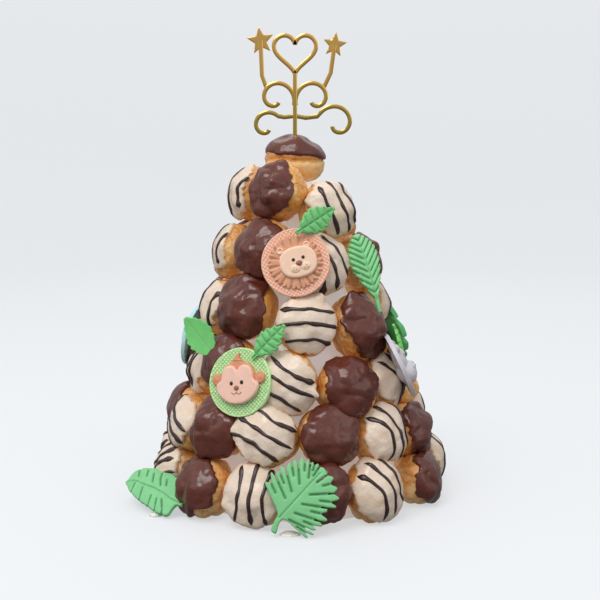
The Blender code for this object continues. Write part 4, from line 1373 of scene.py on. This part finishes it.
def make_lion(look):
    """The lion's disc, mane, face with its ears, nose, and eyes with its whisker dots."""
    disc = "medallion_lion"
    place = cut_disc(disc, paste_finish("lion disc paste", look.lion, 0.92), 0.6, 2.2, 0.6)
    net = Net()
    outline, ruffle = mane()
    cut_paste(net, outline, 1.9, 0.6, FINE_STEP, ruffle, level=DISC_THICKNESS - 0.4)
    net.make("lion_mane", paste_finish("mane paste", look.mane, 0.66), (), place)
    top = DISC_THICKNESS + 1.3
    net = Net()
    cut_paste(net, round_outline(13.4, 11.2, 2.4, (2.2, -0.4)), 2.6, 1.5, PLAIN_STEP, level=top)
    balls(net, ((-0.7, -4.9, top + 2.2, 3.9, 3.3, 1.3, 0),
                (6.7, -4.4, top + 2.2, 3.9, 3.3, 1.3, 0)))
    for x, y in ((-8.9, 10.2), (10.6, 10.4)):
        balls(net, ((x, y, top - 0.1, 1.7, 1.7, 0.7, 0),))
        small_ring(net, x, y, top + 0.7, 1.9, 1.3, 1.5)
    net.make("lion_face", paste_finish("lion face paste", look.cream, 0.78), (), place)
    net = Net()
    balls(net, ((2.6, -1.5, top + 2.9, 2.4, 1.9, 1.2, 0),))
    net.make("lion_nose", paste_finish("nose paste", look.nose, 0.7), (), place)
    net = Net()
    face = top + 2.6
    balls(net, ((-0.9, 1.6, face, 1.25, 1.25, 0.7, 0), (6.2, 1.9, face, 1.25, 1.25, 0.7, 0)))
    dots = ((-1.6, -4.2), (-0.2, -5.6), (-2.2, -5.9), (6.0, -5.6), (7.6, -4.2), (8.2, -5.8))
    balls(net, [(x, y, face + 0.90, 0.30, 0.30, 0.3, 0) for x, y in dots])
    drawn_line(net, ((2.7, -3.2), (2.8, -4.6)), face + 0.2, 0.45, 0.5)
    net.make("lion_eyes", paste_finish("eye paste", look.eye, 0.7), (), place)


def make_monkey(look):
    """The monkey's disc, head with its ears and tuft, face, nose with its mouth, and eyes."""
    disc = "medallion_monkey"
    place = cut_disc(disc, paste_finish("monkey disc paste", look.green, 0.68), 1.2, 2.1, 0.8)
    top = DISC_THICKNESS - 0.2
    net = Net()
    tuft = ((-13.4, 2.0), (-12.6, 7.5), (-8.6, 12.4), (-3.4, 14.6), (-3.0, 16.8), (0.8, 20.4),
            (1.4, 16.6), (3.6, 14.6), (8.8, 12.3), (12.8, 7.0), (13.4, 2.0), (10.0, -6.0),
            (0.0, -9.0), (-10.0, -6.0))
    cut_paste(net, smooth_loop(tuft, 7), 3.0, 1.1, PLAIN_STEP, level=top)
    for side in (-1.0, 1.0):
        cut_paste(net, round_outline(4.0, 4.2, centre=(17.0 * side, 2.6), count=40), 2.6, 1.2,
                  0.7, level=top)
        balls(net, ((17.3 * side, 2.6, top + 2.4, 2.1, 2.3, 0.7, 0),))
    drawn_line(net, ((-6.5, 14.0), (-2.0, 15.4), (3.0, 15.2), (7.0, 13.6)), top + 3.0, 1.0, 0.9)
    net.make("monkey_head", paste_finish("fur paste", look.orange, 0.78), (), place)
    face = ((0.0, 8.2), (2.4, 10.9), (6.0, 11.8), (10.0, 10.0), (12.2, 5.6), (12.8, 1.6),
            (16.2, -1.4), (16.2, -5.4), (12.8, -10.4), (7.0, -14.4), (0.0, -15.7))
    whole = [*face, *((-x, y) for x, y in reversed(face[1:-1]))]
    net = Net()
    cut_paste(net, smooth_loop(whole, 6), 2.6, 1.5, PLAIN_STEP, level=top + 2.0)
    net.make("monkey_face", paste_finish("monkey face paste", look.peach, 0.8), (), place)
    surface = top + 4.6
    net = Net()
    balls(net, ((0.0, -4.4, surface, 2.0, 1.8, 1.1, 0),))
    mouth = [(-4.0 + 0.25 * step, -7.1 - 1.6 * abs(math.sin(math.pi * step / 16.0)) ** 0.8)
             for step in range(33)]
    drawn_line(net, mouth, surface + 0.05, 0.6, 0.5)
    net.make("monkey_nose", paste_finish("monkey nose paste", look.nose, 0.7), (), place)
    net = Net()
    balls(net, ((-4.0, -1.0, surface, 1.35, 1.5, 0.7, 0),
                (4.2, -0.6, surface, 1.35, 1.5, 0.7, 0)))
    net.make("monkey_eyes", paste_finish("monkey eye paste", look.eye, 0.7), (), place)


def make_elephant(look):
    """The elephant's disc, head with its ears and trunk, and eyes."""
    disc, top = "medallion_elephant", DISC_THICKNESS
    place = cut_disc(disc, paste_finish("elephant paste", look.blue, 0.74))
    ear = smooth_loop(((7.0, 10.0), (13.0, 13.6), (19.0, 10.0), (20.4, 2.0), (16.0, -7.0),
                       (10.0, -6.0), (6.0, 0.0)))
    inner = smooth_loop(((9.5, 7.5), (13.5, 10.4), (17.0, 7.6), (17.6, 2.0), (14.6, -3.6),
                         (11.0, -3.0)))
    net = Net()
    for side in ((-1.0, 1.0), (1.0, 1.0)):
        cut_paste(net, ear * side, 2.4, 1.2, PLAIN_STEP, level=top - 0.2)
        cut_paste(net, inner * side, 0.9, 0.6, PLAIN_STEP, level=top + 2.0)
    balls(net, ((0.0, 1.0, top, 11.0, 12.0, 4.8, 0), (0.0, -4.0, top + 3.0, 4.6, 5.0, 3.2, 0)))
    trunk = np.array([(0.0, -2.0, 4.0), (0.0, -6.0, 4.6), (0.1, -10.0, 4.2), (0.6, -13.5, 3.4),
                      (2.0, -16.2, 2.6), (4.4, -17.0, 2.2)])
    steps = np.linspace(0.0, 5.0, 31)
    path = np.stack([np.interp(steps, range(6), trunk[:, axis]) for axis in range(3)], axis=1)
    path[:, 2] += top
    rings = 1.0 + 0.05 * np.cos(steps * 2.0 * math.pi * 1.8)
    girth = np.interp(steps, (0.0, 5.0), (8.0, 4.2)) * rings * rounded_ends(len(steps), 3)
    level_tube(net, path, girth, 0.9 * girth, sides=16)
    net.make("elephant_head", paste_finish("elephant head paste", toned(look.blue, 0.97), 0.7),
             (), place)
    net = Net()
    balls(net, both_sides(4.8, 2.4, top + 4.2, 1.2, 1.3, 0.8))
    net.make("elephant_eyes", paste_finish("elephant eye paste", look.eye, 0.7), (), place)


def make_hippo(look):
    """The hippo's disc, head with its ears and snout, and its eyes and nostrils."""
    disc, top = "medallion_hippo", DISC_THICKNESS
    place = cut_disc(disc, paste_finish("hippo paste", look.grey, 0.80))
    net = Net()
    balls(net, ((0.0, 4.0, top, 12.5, 12.0, 5.0, 0), (0.0, -6.6, top + 1.0, 13.6, 9.2, 7.4, 0),
                *both_sides(10.0, 14.0, top + 0.6, 3.5, 3.5, 2.6),
                *both_sides(5.4, -3.6, top + 7.2, 2.6, 2.0, 1.6, turn=20),
                *both_sides(4.6, 8.0, top + 4.0, 2.6, 2.2, 1.5)))
    net.make("hippo_head", paste_finish("hippo head paste", toned(look.grey, 0.97), 0.72),
             (), place)
    net = Net()
    balls(net, (*both_sides(4.6, 7.6, top + 5.2, 1.1, 1.2, 0.8),
                *both_sides(5.4, -3.6, top + 8.6, 0.9, 0.6, 0.5, turn=20)))
    net.make("hippo_eyes", paste_finish("hippo eye paste", look.eye, 0.7), (), place)


# The gold ornament, in millimetres to the right of the tower's middle and above its foot.

STROKE = 3.2                 # width of a band
SHEET = 2.0                  # and its thickness
SHEET_STEP = 0.04            # each band is thinner by this, so that no two faces coincide
EASE = 0.25                  # of a band's long edges
STICK_X, STICK_FOOT = -3.0, 262.7


def curl(centre, start_radius, end_radius, start_angle, end_angle):
    """Points of a curl whose radius changes evenly with the angle."""
    parts = np.linspace(0.0, 1.0, max(8, int(abs(end_angle - start_angle) / 6.0)))
    angles = np.radians(start_angle + (end_angle - start_angle) * parts)
    radii = start_radius + (end_radius - start_radius) * parts
    return [tuple(point) for point in np.stack([centre[0] + radii * np.cos(angles),
                                                centre[1] + radii * np.sin(angles)], axis=1)]


def heart(centre, half_width, count):
    """The usual sine-power heart, with its notch up."""
    angles = 2.0 * math.pi * (np.arange(count) + 0.5) / count
    rise = (13.0 * np.cos(angles) - 5.0 * np.cos(2.0 * angles)
            - 2.0 * np.cos(3.0 * angles) - np.cos(4.0 * angles))
    return np.stack([centre[0] + half_width * np.sin(angles) ** 3,
                     centre[1] + half_width * rise / 16.0], axis=1)


def star(centre, radius, turn):
    """A star of five points."""
    steps = np.arange(10)
    angles = np.radians(90.0 + turn + 36.0 * steps)
    reach = radius * np.where(steps % 2, 0.45, 1.0)
    return np.stack([centre[0] + reach * np.cos(angles),
                     centre[1] + reach * np.sin(angles)], axis=1)


def flat_band(net, points, thickness, closed=False):
    """A band cut from sheet, with its long edges eased."""
    path = np.asarray(points, dtype=float)
    if closed:
        along = np.roll(path, -1, axis=0) - np.roll(path, 1, axis=0)
    else:
        along = np.gradient(path, axis=0)
    along /= np.linalg.norm(along, axis=1)[:, None]
    across = np.stack([-along[:, 1], along[:, 0]], axis=1)
    half, deep = STROKE / 2.0, thickness / 2.0
    section = ((half, EASE - deep), (half - EASE, -deep), (EASE - half, -deep),
               (-half, EASE - deep), (-half, deep - EASE), (EASE - half, deep),
               (half - EASE, deep), (half, deep - EASE))
    edges = []
    for out, depth in section:
        spots = path + across * out
        edges.append(np.column_stack([spots[:, 0], np.full(len(path), -depth), spots[:, 1]]))
    sides = len(section)
    last = (len(path) - 1) * sides
    faces = ring_faces(len(path), sides)
    if closed:
        faces += [(last + side, side, (side + 1) % sides, last + (side + 1) % sides)
                  for side in range(sides)]
    else:
        faces += [tuple(range(sides)), tuple(last + side for side in reversed(range(sides)))]
    net.add(np.stack(edges, axis=1).reshape(-1, 3) * MM, faces)


def make_ornament(look):
    """A heart, two stars and scrolls of mirror-gold sheet on a stick."""
    crossing, heart_point = (STICK_X, 290.0), (STICK_X, 322.0)
    left_star, right_star = (-29.0, 346.0), (27.0, 343.0)
    bands = (
        [(STICK_X, STICK_FOOT), crossing, heart_point],
        curl((-18.0, 303.0), 15.0, 4.0, -20.0, 310.0),
        curl((12.0, 303.0), 15.0, 4.0, 200.0, -130.0),
        [crossing, (-11.0, 289.0)] + curl((-25.0, 282.0), 12.0, 3.5, 40.0, 310.0),
        [crossing, (5.0, 288.5), (14.0, 289.5)] + curl((29.0, 284.0), 15.0, 4.0, 145.0, -150.0),
        [(-24.5, 310.5), (-28.0, 320.0), left_star],
        [(18.5, 310.5), (24.0, 322.0), right_star],
    )
    net = Net()
    for number, points in enumerate(bands):
        flat_band(net, points, SHEET - SHEET_STEP * number)
    flat_band(net, heart((STICK_X, 338.0), 16.0, 90), SHEET - 0.3, closed=True)
    stars, thickness = Net(), 1.6
    cut_paste(stars, star(left_star, 10.5, 8.0), thickness, EASE, 1.2)
    cut_paste(stars, star(right_star, 9.5, -8.0), thickness, EASE, 1.2)
    x, y, depth = np.concatenate(stars.points).T
    net.add(np.column_stack([x, thickness / 2.0 * MM - depth, y]), stars.faces)
    net.make("ornament_gold", gold_finish(look), ("ornament",))


# Icing dabs: name, middle and half sizes in millimetres.
DAB_DETAIL = 4
DABS = (
    ("dab_palm", (-6.0, -112.5, 0.2), (7.5, 4.5, 2.2)),
    ("dab_broad", (-103.0, -72.0, 0.4), (5.0, 4.0, 2.6)),
)


def make_dabs(look):
    """The dabs of icing under the two lowest leaves."""
    finish = icing_finish(look)
    directions, faces = round_net(DAB_DETAIL)
    for number, (name, middle, sizes) in enumerate(DABS):
        points = (np.array(middle) + directions * np.array(sizes)) * MM
        lumps = 0.5 * soft_noise(points, 3 * MM, 40 + number) * MM
        points = points + directions * lumps[:, None]
        net = Net()
        net.add(points, faces)
        net.make(name, finish)


# The stage.

CAMERA_PLACE = (0.0008, -0.773, 0.2355)
CAMERA_DIP = 6.4             # degrees below the horizon
SENSOR, LENS = 36.0, 60.0    # in millimetres
AIM = (0.0, 0.0, 0.15)       # what the lights point at
SWEEP_SPOKES, SWEEP_STEPS = 96, 9


def make_sweep(look):
    """A pale floor that curves up into a wall all round."""
    outline = [(0.6, 0.0), (1.6, 0.0)]
    for step in range(1, SWEEP_STEPS + 1):
        angle = math.pi / 2.0 * step / SWEEP_STEPS
        outline.append((1.9 + 0.9 * math.sin(angle), 0.9 - 0.9 * math.cos(angle)))
    outline.append((2.8, 2.6))
    angles = np.arange(SWEEP_SPOKES) * 2.0 * math.pi / SWEEP_SPOKES
    rings = [np.stack([radius * np.cos(angles), radius * np.sin(angles),
                       np.full(SWEEP_SPOKES, height)], axis=1) for radius, height in outline]
    points = np.concatenate([*rings, np.zeros((1, 3))])
    middle = len(points) - 1
    faces = ring_faces(len(rings), SWEEP_SPOKES)
    faces += [(middle, spoke, (spoke + 1) % SWEEP_SPOKES) for spoke in range(SWEEP_SPOKES)]
    sweep = new_object("sweep", new_mesh("sweep", points, faces, floor_finish(look)))
    sweep.visible_diffuse = False
    sweep.visible_glossy = False


def soft_light(name, power, place, width, height):
    """A rectangular light that points at the tower."""
    data = bpy.data.lights.new(name, "AREA")
    data.shape = "RECTANGLE"
    data.size, data.size_y = width, height
    data.energy = power
    light = new_object(name, data)
    light.location = place
    light.rotation_euler = (Vector(AIM) - Vector(place)).to_track_quat("-Z", "Y").to_euler()


def make_surroundings(look):
    """Pale light from all round, stronger from above."""
    world = bpy.data.worlds.new("studio")
    world.use_nodes = True
    tree = world.node_tree
    background = tree.nodes["Background"]
    background.inputs["Color"].default_value = (0.98, 0.99, 1.0, 1.0)
    direction = tree.nodes.new("ShaderNodeTexCoord").outputs["Generated"]
    axes = tree.nodes.new("ShaderNodeSeparateXYZ")
    tree.links.new(direction, axes.inputs["Vector"])
    rising = tree.nodes.new("ShaderNodeMapRange")
    tree.links.new(axes.outputs["Z"], rising.inputs["Value"])
    for name, value in (("From Min", -0.35), ("From Max", 0.65), ("To Min", look.shade),
                        ("To Max", look.sky)):
        rising.inputs[name].default_value = value
    tree.links.new(rising.outputs["Result"], background.inputs["Strength"])
    bpy.context.scene.world = world
    bpy.context.scene.view_settings.view_transform = "Standard"


def make_camera():
    """The camera, at the photograph's viewing angle."""
    data = bpy.data.cameras.new("photo camera")
    data.sensor_width = SENSOR
    data.lens = LENS
    data.clip_start = 0.01
    camera = new_object("photo camera", data)
    camera.location = CAMERA_PLACE
    camera.rotation_euler = (math.radians(90.0 - CAMERA_DIP), 0.0, 0.0)
    bpy.context.scene.camera = camera


def make_stage(look):
    """The sweep, the soft lights, the surroundings and the camera."""
    make_sweep(look)
    soft_light("key", look.key, (-0.5, -0.85, 1.5), 0.9, 0.9)
    soft_light("fill", look.fill, (1.3, -0.9, 0.9), 1.2, 1.2)
    soft_light("left", 0.8 * look.fill, (-1.5, -0.5, 0.7), 1.2, 1.2)
    soft_light("back", look.fill, (0.2, 1.3, 1.5), 1.6, 1.2)
    make_surroundings(look)
    make_camera()


# The operators, one for each group of pieces.

class PUFFTOWER_OT_buns(bpy.types.Operator):
    """Bake the golden buns over their solids"""
    bl_idname = "puff_tower.buns"
    bl_label = "Golden buns"

    def execute(self, context):
        finish = crust_finish(settings().puffs)
        for bun in read_buns():
            bake_bun(bun, finish)
        return {"FINISHED"}


class PUFFTOWER_OT_coats(bpy.types.Operator):
    """Dip the buns in dark and ivory coats"""
    bl_idname = "puff_tower.coats"
    bl_label = "Coats"

    def execute(self, context):
        look = settings().puffs
        finishes = {"dark": dark_finish(look), "striped": ivory_finish(look)}
        for bun in read_buns():
            if bun.coat in finishes:
                dip_bun(bun, finishes[bun.coat])
        return {"FINISHED"}


class PUFFTOWER_OT_drizzle(bpy.types.Operator):
    """Lay dark lines over the ivory coats"""
    bl_idname = "puff_tower.drizzle"
    bl_label = "Drizzle"

    def execute(self, context):
        finish = drizzle_finish(settings().puffs)
        for bun in read_buns():
            if bun.coat == "striped":
                drizzle_bun(bun, finish)
        return {"FINISHED"}


class PUFFTOWER_OT_cone(bpy.types.Operator):
    """Give the cone inside the tower its pale covering"""
    bl_idname = "puff_tower.cone"
    bl_label = "Cone"

    def execute(self, context):
        finish = cone_finish(settings().trim)
        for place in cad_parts["core"].material_slots:
            place.material = finish
        return {"FINISHED"}


class PUFFTOWER_OT_leaves(bpy.types.Operator):
    """Cut the leaves from green paste"""
    bl_idname = "puff_tower.leaves"
    bl_label = "Leaves"

    def execute(self, context):
        look = settings().paste
        pastes = {"mint": look.mint, "grass": look.grass, "meadow": look.meadow,
                  "forest": look.forest, "frond": look.frond, "lime": look.lime}
        finishes = {name: paste_finish("%s leaf paste" % name, colour, 0.52)
                    for name, colour in pastes.items()}
        for name, leaf in LEAVES.items():
            cut_leaf(name, leaf, finishes[leaf.paste])
        return {"FINISHED"}


class PUFFTOWER_OT_medallions(bpy.types.Operator):
    """Model the four animal medallions"""
    bl_idname = "puff_tower.medallions"
    bl_label = "Medallions"

    def execute(self, context):
        look = settings().paste
        make_lion(look)
        make_monkey(look)
        make_elephant(look)
        make_hippo(look)
        return {"FINISHED"}


class PUFFTOWER_OT_ornament(bpy.types.Operator):
    """Cut the gold ornament"""
    bl_idname = "puff_tower.ornament"
    bl_label = "Ornament"

    def execute(self, context):
        make_ornament(settings().trim)
        return {"FINISHED"}


class PUFFTOWER_OT_dabs(bpy.types.Operator):
    """Pipe the dabs of icing"""
    bl_idname = "puff_tower.dabs"
    bl_label = "Icing dabs"

    def execute(self, context):
        make_dabs(settings().trim)
        return {"FINISHED"}


class PUFFTOWER_OT_stage(bpy.types.Operator):
    """Set the pale floor, the soft lights and the camera"""
    bl_idname = "puff_tower.stage"
    bl_label = "Stage"

    def execute(self, context):
        make_stage(settings().stage)
        return {"FINISHED"}


OPERATORS = (PUFFTOWER_OT_buns, PUFFTOWER_OT_coats, PUFFTOWER_OT_drizzle, PUFFTOWER_OT_cone,
             PUFFTOWER_OT_leaves, PUFFTOWER_OT_medallions, PUFFTOWER_OT_ornament,
             PUFFTOWER_OT_dabs, PUFFTOWER_OT_stage)


class PUFFTOWER_PT_tower(bpy.types.Panel):
    """Settings and steps of the tower"""
    bl_idname = "PUFFTOWER_PT_tower"
    bl_label = "Cream Puff Tower"
    bl_space_type = "VIEW_3D"
    bl_region_type = "UI"
    bl_category = "Puff Tower"

    def draw(self, context):
        layout = self.layout
        tower = context.scene.puff_tower
        layout.prop(tower, "seed")
        for group in (tower.puffs, tower.paste, tower.trim, tower.stage):
            box = layout.box()
            for setting in group.bl_rna.properties:
                if setting.identifier not in ("rna_type", "name"):
                    box.prop(group, setting.identifier)
        for operator in OPERATORS:
            layout.operator(operator.bl_idname)


CLASSES = (PuffSettings, PasteSettings, TrimSettings, StageSettings, TowerSettings,
           *OPERATORS, PUFFTOWER_PT_tower)


def register():
    for entry in CLASSES:
        bpy.utils.register_class(entry)
    bpy.types.Scene.puff_tower = PointerProperty(type=TowerSettings)


def unregister():
    del bpy.types.Scene.puff_tower
    for entry in reversed(CLASSES):
        bpy.utils.unregister_class(entry)


def main():
    register()
    bpy.ops.puff_tower.buns()
    bpy.ops.puff_tower.coats()
    bpy.ops.puff_tower.drizzle()
    bpy.ops.puff_tower.cone()
    bpy.ops.puff_tower.leaves()
    bpy.ops.puff_tower.medallions()
    bpy.ops.puff_tower.ornament()
    bpy.ops.puff_tower.dabs()
    bpy.ops.puff_tower.stage()


if __name__ == "__main__":
    main()
